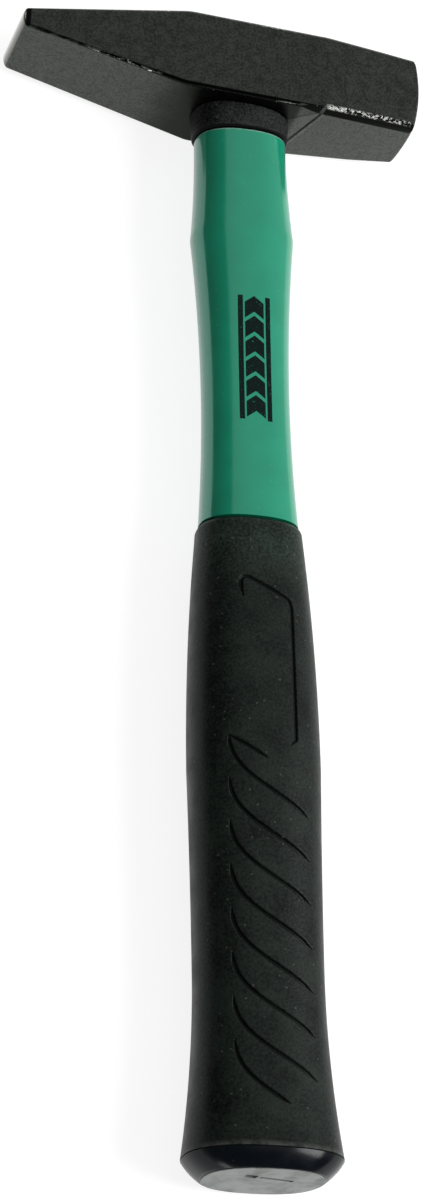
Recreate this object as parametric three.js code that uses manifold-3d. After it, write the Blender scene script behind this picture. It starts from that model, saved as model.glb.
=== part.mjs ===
import * as THREE from "three";
import { ConvexGeometry } from "three/addons/geometries/ConvexGeometry.js";
import { mergeVertices } from "three/addons/utils/BufferGeometryUtils.js";
import Module from "manifold-3d";

const wasm = await Module();
wasm.setup();

// Machinist hammer lying on one cheek, in millimetres.
// The handle runs along Y with the head at its +Y end, the head runs along X with its peen
// at -X and its face at +X, and Z points up out of the upper cheek.
// The handle's axis crosses the head's axis at the point that the pieces are measured from.

// Gap left between neighbouring pieces, and how far a cutter runs past what it cuts
const fitGap = 0.3;
const overrun = 20;

// Roundness of every oval section: 2 is an ellipse, more is squarer
const ovalSquareness = 2.4;
const ovalSides = 36;
const bendSteps = 5;
const roundingSteps = 3;

// Head: height is along Y and thickness along Z, from cheek to cheek
const headLength = 105.9;
const headHeight = 21.9;
const headThickness = 25.2;
const headRound = 1.1;
const headHang = THREE.MathUtils.degToRad(3.5);

// Peen: a wedge that runs from a bend on the top and one on the underside to a rounded nose
const peenReach = 59.6;
const peenTopBend = 16.7;
const peenUnderBend = 13.7;
const noseHeight = 5.3;
const noseThickness = 22;
const noseRise = 0.7;
const noseRound = 1.4;
const noseChamfer = 0.6;
const noseSteps = 6;

// Pole: tapers from its own two bends to the face, which is domed more along its height
const poleTopBend = 20.2;
const poleUnderBend = 16.6;
const poleMiddleShare = 0.55;
const poleMiddleTaperShare = 0.52;
const faceHeight = 20.6;
const faceThickness = 18.9;
const faceRise = 0.7;
const faceBevel = 0.5;
const faceHighRadius = 44;
const faceWideRadius = 124;
const faceDomeSteps = 6;

// The forged bends of the underside run askew: each lies this much nearer to the eye on the
// lower cheek than at the middle, and as much farther from it on the upper cheek
const underSkew = 3.6;

// Eye: an oval hole that narrows at its middle, and the rod and resin that fill it
const eyeUnderMouth = { width: 19.2, thickness: 13.4 };
const eyeWaist = { width: 17.8, thickness: 12.2 };
const eyeTopMouth = { width: 20.4, thickness: 14.4 };
const eyeRecess = 0.5;
const rodWidth = 13.2;
const rodThickness = 9.2;

// Handle: how far its end face lies below the head's axis, and the lengths at its ends
const handleReach = 289.2;
const collarHeight = 7.3;
const capHeight = 5;
const mouthStep = 2.5;
const shoulderBelow = headHeight / 2 + collarHeight;

// Places on the handle, as shares of its length from the neck's shoulder to its end face
const crestShare = 0.105;
const neckWaistShare = 0.268;
const jacketEndShare = 0.398;
const bellyShare = 0.634;
const gripWaistShare = 0.817;

function belowAt(share) {
  return THREE.MathUtils.lerp(shoulderBelow, handleReach, share);
}

// Sections where the handle's outline turns, each with its distance below the head's axis
const neckShoulder = { below: shoulderBelow, width: 23.4, thickness: 17 };
const neckCrest = { below: belowAt(crestShare), width: 26.2, thickness: 18.6 };
const neckWaist = { below: belowAt(neckWaistShare), width: 22.1, thickness: 16.2 };
const jacketEnd = { below: belowAt(jacketEndShare), width: 24.8, thickness: 17.6 };
const gripMouth = { below: jacketEnd.below + mouthStep, width: 26.4, thickness: 19 };
const gripBelly = { below: belowAt(bellyShare), width: 32.2, thickness: 23.2 };
const gripWaist = { below: belowAt(gripWaistShare), width: 31.1, thickness: 22.2 };
const gripButt = { below: handleReach - capHeight, width: 37.9, thickness: 26.4 };
const capEnd = { below: handleReach, width: 28.8, thickness: 22 };
const bendShare = 0.5;

// Collar: a short sleeve that fills the space between the head and the neck's shoulder
const collarRim = { width: 24.6, thickness: 17.8 };
const collarTop = { width: 26.8, thickness: 19.4 };
const collarWall = 1.5;
const collarRound = 0.8;
const jacketRound = 0.5;

// Grip: its wall, the rounding of its mouth, and how deep its pattern is moulded
const gripWall = 2.8;
const gripMouthRound = 1.9;
const grooveWidth = 1.1;
const grooveDepth = 0.6;

// Curved grooves of the grip: the first starts above its belly, the last ends above its butt
const grooveCount = 8;
const grooveLead = 5.7;
const grooveMargin = 5.7;
const grooveDrop = 19.3;
const grooveStart = gripBelly.below - grooveLead;
const groovePitch = (gripButt.below - grooveMargin - grooveDrop - grooveStart) / (grooveCount - 1);
const grooveLeft = 9.1;
const grooveRight = 10.4;
const grooveSteps = 9;
const grooveSteepShare = 0.52;
const grooveFlatShare = 0.64;
const grooveTurnShare = 0.49;
const lastGrooveShare = 0.75;

// Branch that makes a pointed corner with the first groove, just outside which it starts
const branchLead = 0.4;
const branchReach = 9.1;
const branchDrop = 5.6;
const branchSteps = 4;

// Open outline of the grip's panel: a hook, a sloping top and a long right side
const panelLead = 13.5;
const panelMargin = 4.1;
const panelTop = gripMouth.below + panelLead;
const panelFoot = gripBelly.below - panelMargin;
const panelLeft = 5.6;
const panelRight = 7.4;
const panelDrop = 6.5;
const panelHook = 6.4;
const panelLean = 0.9;
const panelRound = 2.6;
const panelSteps = 4;

// Butt: spigot of the cap in the jacket's bore, and the plate let into the cap
const spigotLength = 12;
const bevelBulgeShare = 0.62;
const plateRim = 0.55;
const plateThickness = 0.9;
const markWidth = 0.7;
const markDepth = 0.35;
const shortMarkLength = 3;
const longMarkLength = 8;
const markRise = 3;
const markLead = 2.5;
const markTilt = THREE.MathUtils.degToRad(12);

const colours = {
  blackPaint: { color: 0x30312e, roughness: 0.5, metalness: 0.2 },
  resin: { color: 0xb9a46a, roughness: 0.35, metalness: 0 },
  glassFibre: { color: 0xd3cfb4, roughness: 0.6, metalness: 0 },
  collarRubber: { color: 0x262626, roughness: 0.6, metalness: 0 },
  greenPlastic: { color: 0x2e8b6e, roughness: 0.3, metalness: 0 },
  gripRubber: { color: 0x262826, roughness: 0.75, metalness: 0 },
  glossBlack: { color: 0x0e0f14, roughness: 0.25, metalness: 0 },
  palePlastic: { color: 0xa5aaa5, roughness: 0.5, metalness: 0 },
};

// A closed mesh as a solid for cutting: shared corners are merged and empty triangles dropped
function toSolid(geometry) {
  const bare = geometry.clone();
  bare.deleteAttribute("normal");
  bare.deleteAttribute("uv");
  const merged = mergeVertices(bare);
  const corners = [];
  for (let index = 0; index < merged.index.count; index += 3) {
    const [a, b, c] = merged.index.array.subarray(index, index + 3);
    if (a !== b && b !== c && c !== a) {
      corners.push(a, b, c);
    }
  }
  const triVerts = new Uint32Array(corners);
  const vertProperties = new Float32Array(merged.attributes.position.array);
  return new wasm.Manifold(new wasm.Mesh({ numProp: 3, vertProperties, triVerts }));
}

function toGeometry(solid) {
  const mesh = solid.getMesh();
  const geometry = new THREE.BufferGeometry();
  geometry.setAttribute("position", new THREE.BufferAttribute(mesh.vertProperties, 3));
  geometry.setIndex(new THREE.BufferAttribute(mesh.triVerts, 1));
  geometry.computeVertexNormals();
  return geometry;
}

function namedMesh(name, geometry, colour) {
  const mesh = new THREE.Mesh(geometry, new THREE.MeshStandardMaterial(colour));
  mesh.name = name;
  return mesh;
}

// A station of an oval body: x is its half-width, y its place and z its half-thickness
function station(section, along = -section.below) {
  return new THREE.Vector3(section.width / 2, along, section.thickness / 2);
}

function inset(point, amount) {
  return new THREE.Vector3(point.x - amount, point.y, point.z - amount);
}

function onAxis(along) {
  return new THREE.Vector3(0, along, 0);
}

function ovalShare(value) {
  return Math.sign(value) * Math.abs(value) ** (2 / ovalSquareness);
}

// Turns stations into a closed oval body round the handle's axis
function ovalGeometry(stations) {
  const outline = stations.map((point) => new THREE.Vector2(point.x, point.y));
  const geometry = new THREE.LatheGeometry(outline, ovalSides);
  const position = geometry.attributes.position;
  for (let index = 0; index < position.count; index += 1) {
    const point = stations[index % stations.length];
    const turn = (Math.floor(index / stations.length) / ovalSides) * 2 * Math.PI;
    const side = point.x * ovalShare(Math.sin(turn));
    const front = point.z * ovalShare(Math.cos(turn));
    position.setXYZ(index, side, point.y, front);
  }
  return geometry;
}

// A full oval body: its stations run from the butt towards the head
function fullOval(stations) {
  const first = stations[0];
  const last = stations[stations.length - 1];
  return toSolid(ovalGeometry([onAxis(first.y), ...stations, onAxis(last.y)]));
}

// A hollow oval body, open at both ends
function ovalSleeve(outer, inner) {
  return toSolid(ovalGeometry([...outer, ...inner.toReversed(), outer[0]]));
}

// A stretch of the outline between two sections, level where it meets the named level one
function bend(from, to, level) {
  const along = THREE.MathUtils.lerp(from.y, to.y, bendShare);
  const control = new THREE.Vector3(level.x, along, level.z);
  return new THREE.QuadraticBezierCurve3(from, control, to).getPoints(bendSteps);
}

// A quarter-round edge that ends an outline: direction is 1 at its head end and -1 at its butt end
function roundedEdge(section, along, radius, direction) {
  const end = inset(station(section, along), radius);
  const points = [];
  for (let step = 0; step <= roundingSteps; step += 1) {
    const turn = (step / roundingSteps) * (Math.PI / 2);
    const out = radius * Math.cos(turn);
    const back = radius * (1 - Math.sin(turn));
    points.push(new THREE.Vector3(end.x + out, along - direction * back, end.z + out));
  }
  return direction > 0 ? points : points.reverse();
}

// A block that removes whatever stands above the recess in the top of the eye
function recessCutter() {
  const reach = headLength + overrun;
  const height = headHeight + overrun;
  const block = new THREE.BoxGeometry(reach, height, reach);
  block.translate(0, headHeight / 2 - eyeRecess + height / 2, 0);
  block.rotateZ(-headHang);
  return toSolid(block);
}

// The rounded corner of a head section at its top or underside, on one cheek
function roundedCorner(at, edge, up, cheek, side) {
  const points = [];
  for (let step = 0; step <= roundingSteps; step += 1) {
    const turn = (step / roundingSteps) * (Math.PI / 2);
    const height = edge - up * headRound * (1 - Math.cos(turn));
    points.push(new THREE.Vector3(at, height, cheek - side * headRound * (1 - Math.sin(turn))));
  }
  return points;
}

// The rounded nose: half an ellipse in side view, chamfered towards both cheeks
function nosePoints() {
  const points = [];
  const halfHeight = noseHeight / 2;
  const innerShare = 1 - noseChamfer / halfHeight;
  for (let step = 0; step <= noseSteps; step += 1) {
    const turn = THREE.MathUtils.lerp(-Math.PI / 2, Math.PI / 2, step / noseSteps);
    const at = noseRound - peenReach - noseRound * Math.cos(turn);
    const up = halfHeight * Math.sin(turn);
    for (const side of [-1, 1]) {
      const cheek = (side * noseThickness) / 2;
      points.push(new THREE.Vector3(at, noseRise + up, cheek - side * noseChamfer));
      points.push(new THREE.Vector3(at + noseChamfer, noseRise + up * innerShare, cheek));
    }
  }
  return points;
}

// How far the dome of the face has fallen away from its middle
function domeFall(up, across) {
  return (up * up) / (2 * faceHighRadius) + (across * across) / (2 * faceWideRadius);
}

// Where the corners of the face's rim lie along the head
const faceFront = headLength - peenReach;
const faceRim = faceFront - faceBevel - domeFall(faceHeight / 2, faceThickness / 2);

// Height of the underside at a place on the line from one end of the head to an upper-cheek bend
function underEdge(at, end, endEdge, bendAt) {
  return THREE.MathUtils.mapLinear(at, end, bendAt, endEdge, -headHeight / 2);
}

// Corners of the bends between the peen, the eye's block and the pole
function bendPoints() {
  const points = [];
  const top = headHeight / 2;
  const noseEdge = noseRise - noseHeight / 2;
  const faceEdge = faceRise - faceHeight / 2;
  const peenBend = -peenUnderBend - underSkew;
  const poleBend = poleUnderBend + underSkew;
  for (const side of [-1, 1]) {
    const cheek = (side * headThickness) / 2;
    const peenAt = -peenUnderBend - side * underSkew;
    const poleAt = poleUnderBend + side * underSkew;
    const peenEdge = underEdge(peenAt, -peenReach, noseEdge, peenBend);
    const poleEdge = underEdge(poleAt, faceRim, faceEdge, poleBend);
    points.push(
      ...roundedCorner(-peenTopBend, top, 1, cheek, side),
      ...roundedCorner(poleTopBend, top, 1, cheek, side),
      ...roundedCorner(peenAt, peenEdge, -1, cheek, side),
      ...roundedCorner(poleAt, poleEdge, -1, cheek, side),
    );
  }
  return points;
}

// The pole swells a little between its bends and its face
function swellPoints() {
  const points = [];
  const at = THREE.MathUtils.lerp(poleTopBend, faceRim, poleMiddleShare);
  const taper = (from, to) => THREE.MathUtils.lerp(from, to, poleMiddleTaperShare);
  const cheek = taper(headThickness, faceThickness) / 2;
  for (const up of [-1, 1]) {
    const edge = taper(0, faceRise) + (up * taper(headHeight, faceHeight)) / 2;
    for (const side of [-1, 1]) {
      points.push(...roundedCorner(at, edge, up, side * cheek, side));
    }
  }
  return points;
}

// Places over the face: its two edges, and even steps between its rounded corners
function facePlaces(reach) {
  const places = [-reach, reach];
  const inner = reach - headRound;
  for (let step = 0; step <= faceDomeSteps; step += 1) {
    places.push(THREE.MathUtils.lerp(-inner, inner, step / faceDomeSteps));
  }
  return places;
}

// A grid of points on the face's dome, moved back by a distance, with rounded corners
function domePoints(highReach, wideReach, back) {
  const points = [];
  for (const high of facePlaces(highReach)) {
    for (const wide of facePlaces(wideReach)) {
      const isCorner = Math.abs(high) === highReach && Math.abs(wide) === wideReach;
      const up = Math.sign(high);
      const side = Math.sign(wide);
      const flat = new THREE.Vector3(0, high, wide);
      points.push(...(isCorner ? roundedCorner(0, high, up, wide, side) : [flat]));
    }
  }
  for (const point of points) {
    point.x = faceFront - back - domeFall(point.y, point.z);
    point.y += faceRise;
  }
  return points;
}

function facePoints() {
  const high = faceHeight / 2;
  const wide = faceThickness / 2;
  const dome = domePoints(high - faceBevel, wide - faceBevel, 0);
  return [...dome, ...domePoints(high, wide, faceBevel)];
}

// Stations of the eye, given how much smaller than the hole the body is
function eyeStations(clearance) {
  return [
    inset(station(eyeUnderMouth, -headHeight / 2 - overrun), clearance),
    inset(station(eyeUnderMouth, -headHeight / 2), clearance),
    inset(station(eyeWaist, 0), clearance),
    inset(station(eyeTopMouth, headHeight / 2), clearance),
    inset(station(eyeTopMouth, headHeight / 2 + overrun), clearance),
  ];
}

// The head without its eye
function headBlock() {
  const corners = [...nosePoints(), ...bendPoints(), ...swellPoints(), ...facePoints()];
  return toSolid(new ConvexGeometry(corners));
}

// The head without its eye, as it sits on the handle, lowered towards the butt by a distance
function hungHeadBlock(lowering) {
  return toSolid(toGeometry(headBlock()).rotateZ(-headHang).translate(0, -lowering, 0));
}

function makeHead() {
  const eye = toGeometry(fullOval(eyeStations(0))).rotateZ(headHang);
  const head = headBlock().subtract(toSolid(eye));
  const mesh = namedMesh("hammer_head", toGeometry(head), colours.blackPaint);
  mesh.rotation.z = -headHang;
  return mesh;
}

// End of the cap's spigot inside the handle, which the rod stops short of
const spigotTop = -gripButt.below + spigotLength;
const rodSection = { width: rodWidth, thickness: rodThickness };

function makeRod() {
  const foot = station(rodSection, spigotTop + fitGap);
  const top = station(rodSection, headHeight / 2 + overrun);
  const rod = fullOval([foot, top]).subtract(recessCutter());
  return namedMesh("fibreglass_rod", toGeometry(rod), colours.glassFibre);
}

// The bore that the rod and the spigot share, between two places along the handle
function boreStations(low, high) {
  return [inset(station(rodSection, low), -fitGap), inset(station(rodSection, high), -fitGap)];
}

function makeResin() {
  const outer = eyeStations(fitGap);
  const inner = boreStations(outer[0].y, outer[outer.length - 1].y);
  const resin = ovalSleeve(outer, inner).intersect(hungHeadBlock(0)).subtract(recessCutter());
  return namedMesh("eye_resin", toGeometry(resin), colours.resin);
}

// The collar's rim stands a gap away from the neck's shoulder
function makeCollar() {
  const rim = -neckShoulder.below + fitGap;
  const outer = [...roundedEdge(collarRim, rim, collarRound, -1), station(collarTop, 0)];
  const inner = [station(collarRim, rim), station(collarRim, 0)].map((point) => inset(point, collarWall));
  const collar = ovalSleeve(outer, inner).subtract(hungHeadBlock(fitGap));
  return namedMesh("neck_collar", toGeometry(collar), colours.collarRubber);
}

// Outline of the green body in view, from the grip's mouth up to its rounded shoulder
function neckStations() {
  const shoulder = station(neckShoulder);
  const crest = station(neckCrest);
  const waist = station(neckWaist);
  const lower = bend(station(jacketEnd), waist, waist);
  const middle = bend(waist, crest, waist);
  const upper = bend(crest, shoulder, shoulder);
  const edge = roundedEdge(neckShoulder, shoulder.y, jacketRound, 1);
  return [...lower, ...middle.slice(1), ...upper.slice(1, -1), ...edge];
}

// Outline of the grip between its mouth and the butt, moved inwards by a depth
function gripStations(depth) {
  const butt = station(gripButt);
  const waist = station(gripWaist);
  const belly = station(gripBelly);
  const mouth = station(gripMouth);
  const lower = bend(butt, waist, waist);
  const middle = bend(waist, belly, waist);
  const upper = bend(belly, mouth, belly);
  const outline = [...lower, ...middle.slice(1), ...upper.slice(1)];
  return outline.map((point) => inset(point, depth));
}

function makeJacket() {
  const seat = gripStations(gripWall + fitGap);
  const seatEnd = seat[seat.length - 1].clone().setY(-jacketEnd.below);
  const collarSeat = inset(station(collarRim, -neckShoulder.below), collarWall + fitGap);
  const outer = [...seat, seatEnd, ...neckStations(), collarSeat, collarSeat.clone().setY(0)];
  const inner = boreStations(-gripButt.below, 0);
  const jacket = ovalSleeve(outer, inner).subtract(hungHeadBlock(fitGap));
  return namedMesh("handle_jacket", toGeometry(jacket), colours.greenPlastic);
}

// A thin closed shape along a line of points, pointed at both ends
function strokeShape(points, width) {
  const left = [];
  const right = [];
  for (let index = 1; index < points.length - 1; index += 1) {
    const ahead = points[index + 1].clone().sub(points[index - 1]).normalize();
    const across = new THREE.Vector2(-ahead.y, ahead.x).multiplyScalar(width / 2);
    left.push(points[index].clone().add(across));
    right.unshift(points[index].clone().sub(across));
  }
  return new THREE.Shape([points[0], ...left, points[points.length - 1], ...right]);
}

// One curved groove, which starts straight down and swings over to the right
function groovePoints(start, lengthShare) {
  const from = new THREE.Vector2(-grooveLeft, -start);
  const to = new THREE.Vector2(grooveRight, -start - grooveDrop);
  const steep = new THREE.Vector2(from.x, from.y - grooveDrop * grooveSteepShare);
  const turnAcross = THREE.MathUtils.lerp(from.x, to.x, grooveTurnShare);
  const flat = new THREE.Vector2(turnAcross, from.y - grooveDrop * grooveFlatShare);
  const curve = new THREE.CubicBezierCurve(from, steep, flat, to);
  const points = [];
  for (let step = 0; step <= grooveSteps; step += 1) {
    points.push(curve.getPoint((step / grooveSteps) * lengthShare));
  }
  return points;
}

// The panel's outline as an open line: a hook, the sloping top, a rounded corner and the side
function panelPoints() {
  const slope = panelDrop / (panelLeft + panelRight);
  const onSlope = (x) => -panelTop - slope * (x + panelLeft);
  const hookEnd = panelRound - panelLeft;
  const cornerStart = panelRight - panelRound / 2;
  const path = new THREE.Path();
  path.moveTo(panelLean - panelLeft, -panelTop - panelHook);
  path.quadraticCurveTo(-panelLeft - panelLean, -panelTop, hookEnd, onSlope(hookEnd));
  path.lineTo(cornerStart, onSlope(cornerStart));
  path.quadraticCurveTo(panelRight, onSlope(panelRight), panelRight, onSlope(panelRight) - panelRound);
  path.lineTo(panelRight, -panelFoot + panelRound / 2);
  path.lineTo(panelRight - panelRound / 2, -panelFoot);
  return path.getPoints(panelSteps);
}

function branchPoints() {
  const from = new THREE.Vector2(-grooveLeft - branchLead, -grooveStart);
  const to = new THREE.Vector2(branchReach - grooveLeft, -grooveStart - branchDrop);
  return new THREE.LineCurve(from, to).getPoints(branchSteps);
}

// Every groove of one side as one tool that cuts only the grip's skin
function grooveTool() {
  const lines = [panelPoints(), branchPoints()];
  for (let index = 0; index < grooveCount; index += 1) {
    const lengthShare = index === grooveCount - 1 ? lastGrooveShare : 1;
    lines.push(groovePoints(grooveStart + index * groovePitch, lengthShare));
  }
  let tool = null;
  for (const line of lines) {
    const shape = strokeShape(line, grooveWidth);
    const stroke = toSolid(new THREE.ExtrudeGeometry(shape, { depth: overrun, bevelEnabled: false }));
    tool = tool ? tool.add(stroke) : stroke;
  }
  return tool.subtract(fullOval(gripStations(grooveDepth)));
}

function makeGrip() {
  const outline = gripStations(0);
  const mouth = outline.pop();
  const end = -jacketEnd.below - fitGap;
  const outer = [...outline, ...roundedEdge(gripMouth, end, gripMouthRound, 1)];
  const inner = gripStations(gripWall);
  inner.push(inset(mouth, gripWall).setY(end));
  const tool = grooveTool();
  const otherSide = toSolid(toGeometry(tool).rotateY(Math.PI));
  const grip = ovalSleeve(outer, inner).subtract(tool).subtract(otherSide);
  return namedMesh("grip_sleeve", toGeometry(grip), colours.gripRubber);
}

const plateSeat = inset(station(capEnd), plateRim);

// The bevel of the cap, swollen a little between the end face and the grip
function bevelStations() {
  const end = station(capEnd);
  const butt = station(gripButt, -gripButt.below - fitGap);
  const control = new THREE.Vector3(
    THREE.MathUtils.lerp(end.x, butt.x, bevelBulgeShare),
    THREE.MathUtils.lerp(end.y, butt.y, 1 - bevelBulgeShare),
    THREE.MathUtils.lerp(end.z, butt.z, bevelBulgeShare),
  );
  return new THREE.QuadraticBezierCurve3(end, control, butt).getPoints(bendSteps);
}

function makeCap() {
  const floor = -capEnd.below + plateThickness + fitGap;
  const bevel = bevelStations();
  const outer = [
    plateSeat.clone().setY(floor),
    plateSeat,
    ...bevel,
    station(rodSection, bevel[bevel.length - 1].y),
    station(rodSection, spigotTop),
  ];
  return namedMesh("butt_cap", toGeometry(fullOval(outer)), colours.glossBlack);
}

// The plate lies flush with the cap's end and carries two plain moulding marks
function makePlate() {
  const outer = inset(plateSeat, fitGap);
  const inside = outer.clone().setY(-capEnd.below + plateThickness);
  let plate = fullOval([outer, inside]);
  const marks = [
    { length: shortMarkLength, middle: -markLead - shortMarkLength / 2 },
    { length: longMarkLength, middle: markLead },
  ];
  for (const mark of marks) {
    const slot = new THREE.BoxGeometry(mark.length, 2 * markDepth, markWidth);
    slot.translate(mark.middle, -capEnd.below, 0);
    slot.rotateY(markTilt);
    slot.translate(0, 0, markRise);
    plate = plate.subtract(toSolid(slot));
  }
  return namedMesh("end_plate", toGeometry(plate), colours.palePlastic);
}

const handle = new THREE.Group();
handle.add(makeRod(), makeResin(), makeCollar(), makeJacket(), makeGrip(), makeCap(), makePlate());

// The hammer is centred over the ground and lies on it
const hammer = new THREE.Group();
hammer.add(makeHead(), handle);
hammer.updateMatrixWorld(true);
const box = new THREE.Box3().setFromObject(hammer, true);
const middle = box.getCenter(new THREE.Vector3());
hammer.position.set(-middle.x, -middle.y, -box.min.z);

export default hammer;
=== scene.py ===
"""A machinist hammer lying on a pale floor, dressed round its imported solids."""

import logging
import math
from collections.abc import Iterable, Sequence
from dataclasses import dataclass, field
from enum import Enum
from functools import cached_property
from typing import NamedTuple

import bmesh
import bpy
from bmesh.types import BMEdge, BMesh, BMVert
from bpy.types import ID, Material, Node, NodeSocket, NodeTree, Object
from mathutils import Matrix, Vector
from mathutils.kdtree import KDTree


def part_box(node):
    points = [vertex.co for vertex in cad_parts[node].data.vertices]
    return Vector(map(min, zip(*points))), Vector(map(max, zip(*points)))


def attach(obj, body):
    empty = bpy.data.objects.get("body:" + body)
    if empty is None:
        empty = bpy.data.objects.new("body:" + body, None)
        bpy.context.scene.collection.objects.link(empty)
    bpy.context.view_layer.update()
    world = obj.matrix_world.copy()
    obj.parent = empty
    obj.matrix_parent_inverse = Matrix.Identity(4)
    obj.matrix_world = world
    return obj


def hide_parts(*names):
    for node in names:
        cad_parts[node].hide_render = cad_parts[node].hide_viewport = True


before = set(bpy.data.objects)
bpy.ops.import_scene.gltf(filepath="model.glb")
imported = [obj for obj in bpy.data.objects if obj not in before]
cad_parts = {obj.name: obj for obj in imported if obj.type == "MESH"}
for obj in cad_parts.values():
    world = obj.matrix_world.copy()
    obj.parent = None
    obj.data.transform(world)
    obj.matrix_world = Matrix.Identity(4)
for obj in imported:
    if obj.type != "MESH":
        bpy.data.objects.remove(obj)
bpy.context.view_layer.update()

LOG = logging.getLogger("hammer")
METRES_PER_MM = 0.001
MM_PER_METRE = 1000.0
EDGE_ATTRIBUTE = "edge"
# Marks painted shade: the depth of the grip's grooves, and the collar's lower lip
PAINTED_SHADE_ATTRIBUTE = "groove"

# Driving sizes in millimetres: the gap between pieces, and the handle below the head's axis
FIT_GAP = 0.3
HEAD_HEIGHT = 21.9
COLLAR_HEIGHT = 7.3
SHOULDER_BELOW = HEAD_HEIGHT / 2 + COLLAR_HEIGHT
HANDLE_REACH = 289.2

Triple = tuple[float, float, float]
Colour = Triple
Band = tuple[float, float]
Line = tuple[Vector, Vector]

# Where most of a noise's values lie
NOISE_BAND: Band = (0.3, 0.7)


class Direction(Enum):
    """The two ways along the handle."""

    HEAD = 1
    BUTT = -1


class BlendMode(Enum):
    """Ways in which one colour is laid over another."""

    MIX = "MIX"
    MULTIPLY = "MULTIPLY"


def linear(red: int, green: int, blue: int) -> Colour:
    """Turns a display colour into a linear one, by the standard curve.

    Args:
        red: Red from 0 to 255.
        green: Green from 0 to 255.
        blue: Blue from 0 to 255.

    Returns:
        The same colour in linear light.
    """
    shares = (channel / 255.0 for channel in (red, green, blue))
    return tuple(
        share / 12.92 if share <= 0.04045 else ((share + 0.055) / 1.055) ** 2.4 for share in shares
    )


def lerp(start: float, end: float, share: float) -> float:
    """Returns the value that lies a share of the way from start to end."""
    return start + (end - start) * share


def only(kind: type, parts: Iterable) -> list:
    """Returns the parts of a shape that are of one kind."""
    return [part for part in parts if isinstance(part, kind)]


def linked(name: str, data: ID) -> Object:
    """Puts an object with its data into the scene."""
    made = bpy.data.objects.new(name, data)
    bpy.context.scene.collection.objects.link(made)
    return made


def meshed(name: str, bm: BMesh) -> Object:
    """Puts an object with a bmesh's shape into the scene.

    Args:
        name: The object's name.
        bm: Its shape, which is used up.

    Returns:
        The object.
    """
    mesh = bpy.data.meshes.new(name)
    bm.to_mesh(mesh)
    bm.free()
    return linked(name, mesh)


# ---------------------------------------------------------------- handle form


class Section(NamedTuple):
    """An oval section across the handle, in millimetres.

    Attributes:
        below: Distance below the head's axis.
        width: Size across the handle, along the head.
        thickness: Size from cheek to cheek.
    """

    below: float
    width: float
    thickness: float

    def inset(self, amount: float) -> "Section":
        """Returns this section with its outline moved inwards by an amount."""
        return Section(self.below, self.width - 2 * amount, self.thickness - 2 * amount)

    def at(self, below: float) -> "Section":
        """Returns this section at another place on the handle."""
        return Section(below, self.width, self.thickness)

    def curve(self, control: "Section", end: "Section", share: float) -> "Section":
        """Follows a curved outline that starts at this section.

        Args:
            control: The section that the outline bends towards.
            end: The section where it ends.
            share: How far along it to go, from 0 to 1.

        Returns:
            The section there.
        """
        first, second, third = (1 - share) ** 2, 2 * share * (1 - share), share**2
        sizes = zip(self, control, end)
        return Section(*(first * a + second * b + third * c for a, b, c in sizes))


@dataclass(frozen=True)
class Stretch:
    """A stretch of the handle's outline between two sections.

    Attributes:
        start: The section nearer the butt.
        end: The section nearer the head.
        level: The one of the two where the outline runs level.
        steps: Number of steps that the stretch is made in.
    """

    start: Section
    end: Section
    level: Section
    steps: int

    def at(self, share: float) -> Section:
        """Returns the section a share of the way along the stretch."""
        control = self.level.at((self.start.below + self.end.below) / 2)
        return self.start.curve(control, self.end, share)

    def sections(self) -> list[Section]:
        """Returns the stretch's sections, without its last one."""
        return [self.at(step / self.steps) for step in range(self.steps)]


def on_handle(share: float, width: float, thickness: float) -> Section:
    """Returns a section a share of the way from the neck's shoulder to the end face."""
    return Section(lerp(SHOULDER_BELOW, HANDLE_REACH, share), width, thickness)


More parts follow.
